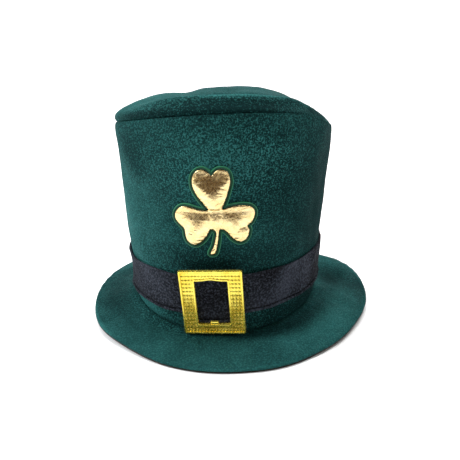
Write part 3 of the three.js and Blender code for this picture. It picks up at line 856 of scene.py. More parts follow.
@dataclass
class CrownWall:
    """The crown's flared tube of bonded cloth, turned in at both seams, sewn up at the back."""

    form: HatForm
    seam_turn: float = 0.5
    deep_turn: float = 1.2
    deep_angle: float = -132.0
    deep_spread: float = 28.0
    seam_reach: float = 2.0
    foot_turn: float = 1.7
    pucker: float = 0.45
    pucker_reach: float = 8.0
    back_seam_depth: float = 1.0
    back_seam_width: float = 1.3
    slack: float = 0.32
    bulge: float = 1.5
    bulge_share: float = 0.93
    bulge_tall: float = 0.09
    around: int = 360
    nap_base: float = 0.5
    grain_base: float = 0.75
    # Places where the pile is brushed lighter or darker, with painted light on the left side and on the
    # strip below the band at the left, and painted shade in a dent at the upper left, below the shamrock,
    # below the band at the right and over the right side: angle, spread, share of the height, tall,
    # lightness.
    nap: tuple = (
        (-152.0, 22.0, 0.50, 0.32, 0.32),
        (-134.0, 11.0, 0.86, 0.13, -0.24),
        (-110.0, 9.0, 0.74, 0.22, -0.12),
        (-82.0, 24.0, 0.88, 0.15, 0.50),
        (-88.0, 26.0, 0.55, 0.18, 0.22),
        (-88.0, 30.0, 0.37, 0.09, -0.36),
        (-142.0, 20.0, 0.04, 0.05, 0.40),
        (-38.0, 34.0, 0.04, 0.06, -0.34),
        (-40.0, 32.0, 0.55, 0.45, -0.20),
        (-4.0, 26.0, 0.55, 0.60, -0.60),
    )
    # Where the pile's grain shows more or less, in the same terms.
    grain: tuple = (
        (-80.0, 30.0, 0.86, 0.18, 1.45),
        (-92.0, 50.0, 0.12, 0.16, 0.55),
        (-8.0, 40.0, 0.50, 0.60, -0.35),
    )

    def skin(self) -> tuple[Skin, int]:
        """The tube's skin: outer rows from foot to rim, inner rows back down. The outer face
        adds turned-in seams, puckers that die away from them, the back seam and soft waves.

        Returns:
            The skin, and how many rows its outer face has.
        """
        form = self.form
        angle = np.linspace(0.0, 360.0, self.around, endpoint=False)[:, None]
        ends = np.array([0.0, 0.003, 0.007, 0.012, 0.019, 0.028, 0.04])
        rows = np.concatenate([ends, np.linspace(0.055, 0.945, 62), 1.0 - ends[::-1]])[None, :]
        height = form.crown_height
        from_rim, from_foot = (1.0 - rows) * height, rows * height
        deep = self.deep_turn * angle_bump(angle, self.deep_angle, self.deep_spread)
        turned = (self.seam_turn + deep) * np.exp(-((from_rim / self.seam_reach) ** 1.5))
        turned = turned + self.foot_turn * np.exp(-((from_foot / self.seam_reach) ** 1.5))
        puckers = self.pucker * (
            gathers(angle, 44, 3) * np.exp(-from_rim / self.pucker_reach)
            + gathers(angle, 38, 5) * np.exp(-from_foot / self.pucker_reach)
        )
        arc = np.radians(away(angle, 90.0)) * form.foot_radius
        groove = self.back_seam_depth * bump(arc, 0.0, self.back_seam_width)
        base = form.wall(angle, rows)
        waves = self.slack * (ripples(base, 55.0, 11) + 0.45 * ripples(base, 21.0, 12))
        waves = waves * smooth(rows, 0.0, 0.1) * (1.0 - smooth(rows, 0.9, 1.0))
        full = self.bulge * bump(rows, self.bulge_share, self.bulge_tall)
        outer = form.wall(angle, rows, waves + full + puckers - turned - groove)
        outer[:, 0, 2] += form.clearance
        inner_rows = np.linspace(1.0, 0.0, 24)[None, :]
        inner = form.wall(angle, inner_rows, -form.crown_wall)
        inner[:, -1, 2] += form.clearance
        loops = np.concatenate([outer, inner], axis=1)
        return ring_skin(loops, 2 * np.pi * form.foot_radius, 2 * height), outer.shape[1]

    def painted(self, points: Array, table: tuple) -> Array:
        """The sum of a table's bells at points, for the nap with its painted light and shade and for the
        grain.

        Args:
            points: Places on the wall.
            table: The bells, as in nap.

        Returns:
            The sum for each point.
        """
        form = self.form
        angle = np.degrees(np.arctan2(points[:, 1], points[:, 0] - form.axis_x))
        share = (points[:, 2] - form.joint) / form.crown_height
        return spots(table, angle, share)

    def make(self, finish: bpy.types.Material, backing: bpy.types.Material) -> bpy.types.Object:
        """Builds and dresses the wall. Its inner face shows the cloth's backing.

        Args:
            finish: The outer face's material.
            backing: The inner face's material.

        Returns:
            The finished piece.
        """
        skin, outer_rows = self.skin()
        # The nap sum holds painted light and shade as well as brushed pile.
        nap = self.painted(skin.points, self.nap) + self.nap_base
        grain = self.painted(skin.points, self.grain) + self.grain_base
        piece = put_mesh("crown_wall_velour", skin, {"nap": nap, "grain": grain})
        piece.data.materials.append(finish)
        piece.data.materials.append(backing)
        per_loop = len(skin.faces[0]) // self.around
        column = np.arange(len(skin.faces[0])) % per_loop
        inside = (column > outer_rows).astype(np.int32)
        piece.data.polygons.foreach_set("material_index", inside)
        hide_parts("crown_wall")
        return piece


@dataclass
class CrownTip:
    """The soft top: a disc of bonded cloth, sewn to the rim, that puffs up over it in folds."""

    form: HatForm
    puff: float = 25.0
    thickness: float = 2.5
    edge_growth: float = 12.0
    rise_left: float = 0.38
    rise_right: float = 0.86
    rise_ends: float = 0.85
    bulge: float = 0.7
    bulge_height: float = 15.0
    seam_turn: float = 0.5
    deep_turn: float = 1.8
    deep_angle: float = -128.0
    deep_spread: float = 26.0
    pucker: float = 0.75
    pucker_reach: float = 11.0
    slack: float = 0.22
    around: int = 320
    rows: int = 84
    # Ridges and hollows: start and end angle, then place, half width and height as shares,
    # and how far the place moves outwards at both ends.
    folds: tuple = (
        (-126.0, -26.0, 0.885, 0.05, 0.22, 0.05),
        (-122.0, -34.0, 0.79, 0.07, -0.10, 0.0),
        (150.0, 215.0, 0.62, 0.16, 0.03, 0.0),
        (20.0, 110.0, 0.52, 0.20, 0.04, 0.0),
        (-42.0, 62.0, 0.70, 0.16, -0.11, 0.0),
    )
    # The crease between the left lobe and the back hump: ends, half width, depth, as shares.
    crease: tuple = (-0.42, 0.62, -0.26, -0.58, 0.10, 0.10)
    nap_base: float = 0.42
    grain_base: float = 0.45
    grain_front: float = 0.6
    grain_angle: float = -88.0
    grain_spread: float = 48.0
    # Brushed places with painted light on the left lobe and a painted highlight along the crest of the
    # front roll, darker at the back, and painted shade on the roll's front face, in the crease at the left
    # and under the crest at the right: angle, spread, share of the radius, wide, lightness.
    nap: tuple = (
        (180.0, 60.0, 0.7, 0.4, 0.34),
        (90.0, 60.0, 0.5, 0.4, -0.24),
        (-76.0, 30.0, 0.965, 0.055, -0.46),
        (-122.0, 22.0, 0.995, 0.018, -0.55),
        (-70.0, 44.0, 0.880, 0.024, 0.62),
        (-75.0, 36.0, 0.79, 0.05, -0.16),
        (-26.0, 9.0, 0.955, 0.020, -0.45),
    )

    def height(self, angle: Array, share: Array) -> Array:
        """Height over the rim's surface: a dome, one less the share's square to a power that
        changes round the rim, with ridges, hollows and the crease.

        Args:
            angle: Degrees round the hat, 0 at its right and -90 at its front.
            share: The share of the rim's radius.

        Returns:
            The height over the rim.
        """
        a = np.radians(angle)
        x, y = share * np.cos(a), share * np.sin(a)
        rise = mix(self.rise_left, self.rise_right, (1 + np.cos(a)) / 2)
        rise = rise * mix(1.0, self.rise_ends, np.abs(np.sin(a)))
        dome = np.clip(1 - share**2, 0.0, 1.0) ** rise
        fold = sum(
            h * angle_span(angle, start, end)
            * bump(share, place + drift * (away(angle, (start + end) / 2) * 2 / (end - start)) ** 2, wide)
            for start, end, place, wide, h, drift in self.folds
        )
        x0, y0, x1, y1, wide, depth = self.crease
        run_x, run_y = x1 - x0, y1 - y0
        near = np.clip(((x - x0) * run_x + (y - y0) * run_y) / (run_x**2 + run_y**2), 0.0, 1.0)
        off = np.hypot(x - x0 - near * run_x, y - y0 - near * run_y)
        fold = fold - depth * bump(off, 0.0, wide)
        return self.puff * (dome + fold * np.minimum(1.0, (1 - share) * self.edge_growth))

    def face(self, angle: Array, share: Array, inset: float) -> Array:
        """A point of the upper face, or of the lower one at an inset. Over the seam the side
        bulges out in half a sine wave of its height, and puckers run in from the seam.

        Args:
            angle: Degrees round the hat, 0 at its right and -90 at its front.
            share: The share of the rim's radius.
            inset: The depth under the upper face, 0 for that face itself.

        Returns:
            The points.
        """
        form = self.form
        a = np.radians(angle)
        lift = self.height(angle, share)
        reach = form.rim_radius - form.rim_tuck - inset
        radius = share * reach
        from_seam = (1 - share) * reach
        z = form.rim_height(angle, share) + form.clearance + lift
        if inset == 0.0:
            side = smooth(share, 0.78, 0.93) * np.sin(np.pi * np.clip(lift / self.bulge_height, 0, 1))
            soft = mix(0.35, 1.0, (1 - np.cos(a - 0.5)) / 2)
            radius = radius + self.bulge * side * soft
            deep = self.deep_turn * angle_bump(angle, self.deep_angle, self.deep_spread)
            turned = (self.seam_turn + deep) * np.exp(-((np.hypot(from_seam, lift) / 2.2) ** 1.5))
            radius = radius - turned + 0.4 * deep * side
            puckers = self.pucker * gathers(angle, 40, 8) * np.exp(-from_seam / self.pucker_reach)
            puckers = puckers * smooth(lift, 0.0, 5.0)
            radius = radius + puckers
            flat = np.stack(np.broadcast_arrays(radius * np.cos(a), radius * np.sin(a), z), axis=-1)
            waves = ripples(flat, 34.0, 21) + 0.5 * ripples(flat, 14.0, 22)
            z = z + self.slack * waves * smooth(from_seam, 0.0, 12.0)
        else:
            z = z - inset * np.minimum(1.0, (1 - share) * self.edge_growth)
        x = form.axis_x + form.crown_lean + radius * np.cos(a)
        return np.stack(np.broadcast_arrays(x, radius * np.sin(a), z), axis=-1)

    def skin(self) -> Skin:
        """The shell's skin: rows from the middle of the upper face to the seam, closer and
        closer together, and back under it.

        Returns:
            The skin.
        """
        angle = np.linspace(0.0, 360.0, self.around, endpoint=False)[:, None]
        t = np.linspace(0.0, 1.0, self.rows + 1)[1:]
        outer = (1.0 - (1.0 - t) ** 2.2)[None, :]
        inner = np.linspace(1.0, 0.04, 22)[None, :]
        points = np.concatenate([
            self.face(angle, outer, 0.0), self.face(angle, inner, self.thickness)
        ], axis=1)
        top, low = points[:, 0].mean(axis=0), points[:, -1].mean(axis=0)
        return capped_skin(points, top, low, 600.0, 250.0)

    def make(self, finish: bpy.types.Material) -> bpy.types.Object:
        """Builds and dresses the top.

        Args:
            finish: The finish's material.

        Returns:
            The finished piece.
        """
        skin = self.skin()
        form = self.form
        x = skin.points[:, 0] - form.axis_x - form.crown_lean
        angle = np.degrees(np.arctan2(skin.points[:, 1], x))
        share = np.hypot(x, skin.points[:, 1]) / form.rim_radius
        # The nap sum holds painted light and shade as well as brushed pile.
        nap = self.nap_base + spots(self.nap, angle, share)
        front = angle_bump(angle, self.grain_angle, self.grain_spread)
        grain = self.grain_base + self.grain_front * front * smooth(share, 0.84, 0.92)
        piece = put_mesh("crown_tip_velour", skin, {"nap": nap, "grain": grain})
        piece.data.materials.append(finish)
        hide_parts("crown_tip")
        return piece


@dataclass
class Brim:
    """The padded ring of the brim, with a soft rolled edge."""

    form: HatForm
    pucker: float = 0.6
    pucker_reach: float = 9.0
    edge_wave: float = 0.45
    hem_place: float = 5.5
    hem_depth: float = 0.35
    slack: float = 0.35
    around: int = 360
    nap_base: float = 0.5
    nap_edge: float = 0.25
    grain_base: float = 0.5
    grain_foot: float = 0.8
    grain_angle: float = -128.0
    grain_spread: float = 30.0
    # Brushed places with painted light on the front left and on the roll at the right back, and painted
    # shade on the left side, at the crown's foot on the right and in the valley at the right back: angle,
    # spread, share of the width, wide, lightness.
    nap: tuple = (
        (-112.0, 34.0, 0.80, 0.35, 0.12),
        (-150.0, 18.0, 0.15, 0.25, 0.10),
        (-172.0, 26.0, 0.50, 0.40, -0.38),
        (-48.0, 36.0, 0.12, 0.20, -0.40),
        (-40.0, 24.0, 0.55, 0.25, 0.14),
        (16.0, 12.0, 0.36, 0.30, -0.46),
        (33.0, 12.0, 0.66, 0.25, 0.14),
        (4.0, 16.0, 0.90, 0.30, -0.34),
        (-30.0, 26.0, 0.60, 0.40, 0.20),
    )

    def skin(self) -> Skin:
        """The ring's skin: the upper face, half a circle round the edge, the lower face and
        the inner wall. The upper face adds puckers at the seam, a hem line and soft waves.

        Returns:
            The skin.
        """
        form = self.form
        angle = np.linspace(0.0, 360.0, self.around, endpoint=False)[:, None]
        width = form.brim_radius - form.foot_radius
        half = form.brim_thickness / 2.0
        starts = np.array([0.0, 0.012, 0.03])
        top = np.concatenate([starts, np.linspace(0.055, 1.0 - half / width, 50)])[None, :]
        from_seam, from_edge = top * width, (1.0 - top) * width
        flat = form.brim(angle, top, 0.0)
        rise = self.pucker * gathers(angle, 42, 15) * np.exp(-from_seam / self.pucker_reach)
        rise = rise * smooth(from_seam, 0.0, 2.5)
        rise = rise - self.hem_depth * bump(from_edge, self.hem_place, 1.4)
        waves = ripples(flat, 38.0, 31) + 0.5 * ripples(flat, 16.0, 32)
        rise = rise + self.slack * waves * smooth(from_edge, 2.0, 14.0)
        edge_wave = self.edge_wave * gathers(angle, 26, 19)
        upper = form.brim(angle, top, 0.0, rise + edge_wave * np.exp(-from_edge / 12.0))
        turn = np.linspace(0.0, np.pi, 13)[None, 1:-1]
        out = 1.0 - half / width + half * np.sin(turn) / width
        round_edge = form.brim(angle, out, half - half * np.cos(turn), edge_wave * np.cos(turn / 2))
        below = np.linspace(1.0 - half / width, 0.06, 22)[None, :]
        lower = form.brim(angle, below, form.brim_thickness)
        inner = form.under_wall(angle, np.array([[form.brim_thickness, 0.0]]))
        loops = np.concatenate([upper, round_edge, lower, inner], axis=1)
        return ring_skin(loops, 2 * np.pi * form.foot_radius, 2 * width)

    def make(self, finish: bpy.types.Material) -> bpy.types.Object:
        """Builds and dresses the brim.

        Args:
            finish: The finish's material.

        Returns:
            The finished piece.
        """
        skin = self.skin()
        form = self.form
        angle = np.degrees(np.arctan2(skin.points[:, 1], skin.points[:, 0]))
        share = (np.hypot(skin.points[:, 0], skin.points[:, 1]) - form.foot_radius) / (
            form.brim_radius - form.foot_radius
        )
        # The nap sum holds painted light and shade as well as brushed pile.
        nap = self.nap_base + spots(self.nap, angle, share)
        nap = nap + self.nap_edge * smooth(share, 0.965, 1.0)
        foot = angle_bump(angle, self.grain_angle, self.grain_spread) * (1.0 - smooth(share, 0.1, 0.35))
        grain = self.grain_base + self.grain_foot * foot
        piece = put_mesh("brim_velour", skin, {"nap": nap, "grain": grain})
        piece.data.materials.append(finish)
        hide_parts("brim")
        return piece


@dataclass
class BrimLining:
    """The thin cloth under the brim, whose edge peeps out below the roll."""

    form: HatForm
    inset: float = 0.5
    around: int = 300

    def skin(self) -> Skin:
        """The ring's skin: the same run as the brim's underside, one cloth thick.

        Returns:
            The skin.
        """
        form = self.form
        angle = np.linspace(0.0, 360.0, self.around, endpoint=False)[:, None]
        upper_depth = form.brim_thickness + form.clearance
        width = form.brim_radius - form.foot_radius
        edge = 1.0 - self.inset / width
        half = form.lining_thickness / 2.0
        rows = np.linspace(0.02, edge - half / width, 26)[None, :]
        upper = form.brim(angle, rows, upper_depth)
        turn = np.linspace(0.0, np.pi, 7)[None, 1:-1]
        out = edge - half / width + half * np.sin(turn) / width
        rolled = form.brim(angle, out, upper_depth + half - half * np.cos(turn))
        lower = form.brim(angle, rows[:, ::-1], form.brim_stack)
        inner = form.under_wall(angle, np.array([[form.brim_stack, upper_depth]]))
        loops = np.concatenate([upper, rolled, lower, inner], axis=1)
        return ring_skin(loops, 2 * np.pi * form.foot_radius, 2 * width)

    def make(self, finish: bpy.types.Material) -> bpy.types.Object:
        """Builds and dresses the lining.

        Args:
            finish: The finish's material.

        Returns:
            The finished piece.
        """
        piece = put_mesh("brim_lining_cloth", self.skin())
        piece.data.materials.append(finish)
        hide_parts("brim_lining")
        return piece


@dataclass
class HatBand:
    """The black pile band round the crown's foot, with a doubled hem, eased out by the buckle."""

    form: HatForm
    width: float = 39.5
    thickness: float = 1.8
    above_foot: float = 17.0
    tilt: float = 1.8
    ease: float = 1.6
    dip: float = 9.0
    buckle_width: float = 56.2
    window_width: float = 29.6
    nap_base: float = 0.52
    nap_cloud: float = 0.14
    # Lighter towards the front right, and painted shade round the right side: angle, spread, lightness.
    nap: tuple = ((-48.0, 26.0, 0.22), (8.0, 34.0, -0.30))
    # Painted shade in the groove over the hem and a painted highlight on its pale roll: share of the width,
    # half width, lightness.
    hem_shade_and_highlight: tuple = ((0.087, 0.010, -0.9), (0.055, 0.014, 0.12))
    hem_up: float = 0.065
    hem_out: float = 1.25
    slack: float = 0.28
    edge_wave: float = 0.5
    around: int = 360

    def point(self, angle: Array, up: Array, out: Array, slack: Array | float = 0.0) -> Array:
        """A point of the band: up is a share of its width, out a share of its thickness. Its
        lower edge dips behind the buckle, and both sides of the buckle stand off the crown.

        Args:
            angle: Degrees round the hat, 0 at its right and -90 at its front.
            up: The share of the band's width, 0 at its hem.
            out: The share of its thickness.
            slack: What is added to the distance off the crown.

        Returns:
            The points.
        """
        form = self.form
        half = math.degrees(self.buckle_width / 2 / form.foot_radius)
        beside = sum(angle_bump(angle, form.front + side * half, 0.7 * half) for side in (-1, 1))
        ease = self.ease * beside * mix(0.45, 1.0, up)
        arc = np.abs(np.radians(away(angle, form.front))) * form.foot_radius
        dip = self.dip * (1 - smooth(arc, self.window_width / 2, self.buckle_width / 2))
        tilt = self.tilt * np.cos(np.radians(angle))
        wander = self.edge_wave * np.abs(2 * up - 1) * np.sin(np.radians(angle) * 7 + 4 * up)
        wander = wander * smooth(arc, 20.0, 60.0)
        height = self.above_foot + up * self.width + tilt - (1 - up) * dip + wander
        off = form.curve_clearance + ease + out * self.thickness + slack
        return form.wall_at(angle, height, off)

    def skin(self) -> tuple[Skin, Array]:
        """The band's skin: inner face, rounded upper edge, outer face and the doubled hem.

        Returns:
            The skin, and each point's share of the width, 1 on the inner face.
        """
        angle = np.linspace(0.0, 360.0, self.around, endpoint=False)[:, None]
        turn = np.linspace(0.0, np.pi, 7)[1:-1]
        up = np.concatenate([
            np.linspace(0.02, 0.975, 10),
            0.98 + 0.02 * np.sin(turn),
            np.linspace(0.975, 0.115, 30),
            [0.098, 0.088, 0.080, 0.074, self.hem_up, 0.05, 0.03, 0.014, 0.004, 0.0, 0.004],
        ])[None, :]
        out = np.concatenate([
            np.zeros(10),
            0.5 - 0.5 * np.cos(turn),
            np.ones(30),
            [0.8, 0.1, 0.15, 1.0, 1.5, 1.62, 1.6, 1.45, 1.1, 0.5, 0.1],
        ])[None, :]
        base = self.point(angle, up, out)
        waves = self.slack * (ripples(base, 30.0, 41) + 0.5 * ripples(base, 12.0, 42))
        loops = self.point(angle, up, out, np.where(out > 0.4, np.maximum(waves, -0.25), 0.0))
        along = np.broadcast_to(np.where(out > 0.05, up, 1.0), loops.shape[:2]).ravel()
        return ring_skin(loops, 2 * np.pi * self.form.foot_radius, 2 * self.width), along

    def make(self, finish: bpy.types.Material) -> bpy.types.Object:
        """Builds and dresses the band.

        Args:
            finish: The finish's material.

        Returns:
            The finished piece.
        """
        skin, along = self.skin()
        angle = np.degrees(np.arctan2(skin.points[:, 1], skin.points[:, 0] - self.form.axis_x))
        nap = self.nap_base + self.nap_cloud * ripples(skin.points * np.array([1.0, 1.0, 0.45]), 34.0, 43)
        # Painted shade round the band's right side.
        nap = nap + sum(light * angle_bump(angle, at, spread) for at, spread, light in self.nap)
        # Painted shade in the hem's groove and a painted highlight on its roll.
        nap = nap + sum(light * bump(along, place, wide) for place, wide, light in self.hem_shade_and_highlight)
        grain = np.ones(len(nap))
        piece = put_mesh("hat_band_velour", skin, {"nap": nap, "grain": grain})
        piece.data.materials.append(finish)
        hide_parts("hat_band")
        return piece


def rounded_rectangle(
    width: float, height: float, corner: float, per_side: int = 24, per_corner: int = 6
) -> Array:
    """The outline of a rectangle with rounded corners, counter-clockwise from its right foot.

    Args:
        width: Its width.
        height: Its height.
        corner: Its corners' radius.
        per_side: Points along each straight side.
        per_corner: Points round each corner.

    Returns:
        The points, x and y.
    """
    corner = min(max(corner, 0.05), min(width, height) / 2.1)
    half = np.array([width / 2, height / 2])
    parts = []
    for k, (sx, sy) in enumerate(((1, -1), (1, 1), (-1, 1), (-1, -1))):
        centre = np.array([sx, sy]) * (half - corner)
        turn = np.radians(-90 + 90 * k) + np.linspace(0.0, np.pi / 2, per_corner)
        arc = centre + corner * np.stack([np.cos(turn), np.sin(turn)], axis=1)
        after = ((1, 1), (-1, 1), (-1, -1), (1, -1))[k]
        turn_on = np.radians(-90 + 90 * (k + 1))
        next_centre = np.array(after) * (half - corner)
        goal = next_centre + corner * np.array([math.cos(turn_on), math.sin(turn_on)])
        line = mix(arc[-1], goal, np.linspace(0.0, 1.0, per_side + 2)[1:-1, None])
        parts += [arc, line]
    return np.concatenate(parts)


@dataclass
class Buckle:
    """The square buckle: a knurled plate between a plain outer and a plain inner rim, with a
    short ribbed stub in its window."""

    form: HatForm
    band: HatBand
    width: float = 56.4
    height: float = 67.4
    plate: float = 1.8
    rim: float = 1.85
    rim_rise: float = 1.2
    corner: float = 1.5
    lean: float = 7.3
    twist: float = 1.1
    shift: float = 0.8
    above_brim: float = 3.4
    window_width: float = 29.6
    window_height: float = 46.8
    window_above_edge: float = 10.3
    window_arch: float = 1.2
    window_corner: float = 0.7
    stub_width: float = 7.0
    stub_length: float = 2.6
    knurl_columns: int = 18
    knurl_rows: int = 16
    knurl_rise: float = 0.85
    knurl_steps: int = 4
    knurl_low: float = 1.25
    knurl_high: float = 0.78
    rib_rise: float = 0.09
    edge_round: float = 0.5

    def window(self, margin: float) -> Array:
        """The window's outline, grown by a margin, with a low arch over its upper edge.

        Args:
            margin: How far it is grown.

        Returns:
            The points, across and up.
        """
        outline = rounded_rectangle(
            self.window_width + 2 * margin, self.window_height + 2 * margin, self.window_corner + margin
        )
        arch = self.window_arch * bump(outline[:, 0], 0.0, self.window_width * 0.2)
        half = self.window_height / 2
        outline[:, 1] += arch * smooth(outline[:, 1], half - 2.0, half - 0.5)
        outline[:, 1] += -self.height / 2 + self.window_above_edge + half
        return outline

    def rim_profile(self) -> tuple[Array, Array]:
        """A rim's section: across from its free edge, and height, with rounded shoulders.

        Returns:
            The section's places across, and their heights.
        """
        r, top, wide = self.edge_round, self.plate + self.rim_rise, self.rim
        turn = np.linspace(0.0, np.pi / 2, 6)
        across = np.concatenate([[0.0], r - r * np.cos(turn), wide - r + r * np.sin(turn), [wide]])
        height = np.concatenate([[0.0], top - r + r * np.sin(turn), top - r + r * np.cos(turn), [0.0]])
        return across, height

    def outer_rim(self) -> Skin:
        """The outer rim: each ring of its section is a rounded rectangle, drawn in by the
        section's across. Small ribs run along its lower bar.

        Returns:
            The skin.
        """
        across, height = self.rim_profile()
        rings = []
        for a, h in zip(across, height):
            flat = rounded_rectangle(self.width - 2 * a, self.height - 2 * a, self.corner - a, 60)
            low = smooth(-flat[:, 1], self.height / 2 - 3.0, self.height / 2 - 2.0)
            pitch = (self.width - 2 * self.rim) / self.knurl_columns
            rib = self.rib_rise * low * (h > self.plate) * np.cos(2 * np.pi * flat[:, 0] / pitch)
            rings.append(np.column_stack([flat, h + rib]))
        points = np.stack(rings, axis=1)
        return ring_skin(points, 250.0, 8.0)

    def inner_rim(self) -> Skin:
        """The inner rim, drawn out from the window's outline in the same way.

        Returns:
            The skin.
        """
        across, height = self.rim_profile()
        flat = [self.window(a) for a in across]
        rings = [np.column_stack([ring, np.full(len(ring), h)]) for ring, h in zip(flat, height)]
        return ring_skin(np.stack(rings, axis=1), 150.0, 8.0)

    def knurled_plate(self) -> Skin:
        """The plate: rows and columns of four-sided pyramids. Each one's height is one less
        the greater of its distances from the middle, across and up, softened at tip and valley.
        They are taller towards the foot.

        Returns:
            The skin.
        """
        width, height = self.width - 2 * self.rim + 0.8, self.height - 2 * self.rim + 0.8
        n = self.knurl_steps
        field_w, field_h = self.width - 2 * self.rim, self.height - 2 * self.rim
        u = np.arange(self.knurl_columns * n + 1) / n
        v = np.arange(self.knurl_rows * n + 1) / n
        uu, vv = np.meshgrid(u, v, indexing="ij")
        slope = np.maximum(np.abs(2 * np.mod(uu, 1.0) - 1), np.abs(2 * np.mod(vv, 1.0) - 1))
        tall = (1.14 - np.sqrt(slope**2 + 0.02)).clip(0.04)
        tall = tall * mix(self.knurl_low, self.knurl_high, vv / self.knurl_rows)
        x = (uu / self.knurl_columns - 0.5) * field_w
        y = (vv / self.knurl_rows - 0.5) * field_h
        x = x * width / field_w
        y = y * height / field_h
        z = self.plate + self.knurl_rise * tall
        points = np.stack([x, y, z], axis=-1)
        rows, columns = points.shape[:2]
        i, j = np.meshgrid(np.arange(rows - 1), np.arange(columns - 1), indexing="ij")
        a = i * columns + j
        b, c, d = a + columns, a + columns + 1, a + 1
        even = ((i // (n // 2) + j // (n // 2)) % 2 == 0).ravel()
        a, b, c, d = (k.ravel() for k in (a, b, c, d))
        first = np.where(even[:, None], np.stack([a, b, c], 1), np.stack([a, b, d], 1))
        second = np.where(even[:, None], np.stack([a, c, d], 1), np.stack([b, c, d], 1))
        flat = points.reshape(-1, 3)
        middle = (flat[a] + flat[c]) / 2
        foot = -self.height / 2 + self.window_above_edge
        margin = self.rim / 2
        hole = (
            (np.abs(middle[:, 0]) < self.window_width / 2 + margin)
            & (middle[:, 1] > foot - margin)
            & (middle[:, 1] < foot + self.window_height + margin)
        )
        front = np.concatenate([first[~hole], second[~hole]])
        return backed(flat, front, flat * np.array([1.0, 1.0, 0.0]))

    def stub(self) -> Skin:
        """The stub at the window's foot: a small block whose front is ribbed across.

        Returns:
            The skin.
        """
        foot = -self.height / 2 + self.window_above_edge
        u = np.linspace(-1.0, 1.0, 41)
        v = np.linspace(0.0, 1.0, 9)
        uu, vv = np.meshgrid(u, v, indexing="ij")
        ribs = 0.22 * np.cos(uu * np.pi * 3.5) ** 2
        soft = 0.3 * (uu**8 + (vv) ** 8)
        z = self.plate + 0.5 + ribs - soft
        x = uu * self.stub_width / 2
        y = foot - self.rim / 2 + vv * (self.stub_length + self.rim / 2)
        points = np.stack([x, y, z], axis=-1).reshape(-1, 3)
        quads, _ = grid_faces(41, 9, False, False)
        front = np.concatenate([quads[:, [0, 1, 2]], quads[:, [0, 2, 3]]])
        return backed(points, front, points * np.array([1.0, 1.0, 0.0]))

    def make(self, finish: bpy.types.Material) -> bpy.types.Object:
        """Builds the buckle flat, sets it up against the band and dresses it.

        Args:
            finish: The finish's material.

        Returns:
            The finished piece.
        """
        skin = self.outer_rim()
        for part in (self.inner_rim(), self.knurled_plate(), self.stub()):
            skin = skin.joined(part)
        twist, lean = math.radians(self.twist), math.radians(90.0 + self.lean)
        spin = np.array([
            [math.cos(twist), -math.sin(twist), 0.0],
            [math.sin(twist), math.cos(twist), 0.0],
            [0.0, 0.0, 1.0],
        ])
        turn = np.array([
            [1.0, 0.0, 0.0],
            [0.0, math.cos(lean), -math.sin(lean)],
            [0.0, math.sin(lean), math.cos(lean)],
        ])
        form = self.form
        tilt = math.radians(self.lean)
        up = float(form.foot_height(np.array(form.front))) + self.above_brim
        up = up + self.height / 2 * math.cos(tilt)
        hem = (np.array(self.band.hem_up), np.array(self.band.hem_out))
        foot = self.band.point(np.array(form.front), *hem)
        back = foot[1] - form.clearance - (up - foot[2]) * math.tan(tilt)
        skin.points = skin.points @ (turn @ spin).T + np.array([foot[0] + self.shift, back, up])
        piece = put_mesh("buckle_gold", skin, crisp=28.0)
        piece.data.materials.append(finish)
        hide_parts("buckle")
        return piece


@dataclass
class PadCloth:
    """A flat piece of foil cloth that is sewn down along its outline and blown up into a pad."""

    scale: float = 0.01
    frames: int = 22
    spare: float = 0.02
    pressure: float = 30.0
    quality: int = 8
    weight: float = 0.25
    stretch: float = 22.0
    shear: float = 12.0
    bending: float = 3.0
    damping: float = 4.0

    def inflate(self, flat: Array, faces: Array, held: Array, start: Array) -> Array:
        """Runs the cloth simulation.

        Args:
            flat: The cloth's points, across and up.
            faces: Its triangles.
            held: Which points the stitches hold.
            start: The height from which each point starts.

        Returns:
            Each point's place after the run: across, up and off.
        """
        scene = bpy.context.scene
        mesh = bpy.data.meshes.new("pad_cloth")
        points = np.column_stack([flat, start]) * self.scale
        mesh.from_pydata(points.tolist(), [], faces.tolist())
        cloth = bpy.data.objects.new("pad_cloth", mesh)
        scene.collection.objects.link(cloth)
        pins = cloth.vertex_groups.new(name="stitches")
        pins.add(np.flatnonzero(held).tolist(), 1.0, "REPLACE")
        run = cloth.modifiers.new("cloth", "CLOTH")
        settings = run.settings
        settings.quality = self.quality
        settings.mass = self.weight
        settings.tension_stiffness = settings.compression_stiffness = self.stretch
        settings.shear_stiffness = self.shear
        settings.bending_stiffness = self.bending
        settings.air_damping = self.damping
        settings.shrink_min = -self.spare
        settings.use_pressure = True
        settings.uniform_pressure_force = self.pressure
        settings.vertex_group_mass = "stitches"
        settings.effector_weights.gravity = 0.0
        run.collision_settings.use_collision = False
        run.point_cache.frame_start, run.point_cache.frame_end = 1, self.frames
        for frame_number in range(1, self.frames + 1):
            scene.frame_set(frame_number)
        shaped = cloth.evaluated_get(bpy.context.evaluated_depsgraph_get())
        places = np.empty(len(flat) * 3, dtype=np.float32)
        shaped.data.vertices.foreach_get("co", places)
        scene.frame_set(1)
        bpy.data.objects.remove(cloth)
        bpy.data.meshes.remove(mesh)
        return places.reshape(-1, 3).astype(float) / self.scale


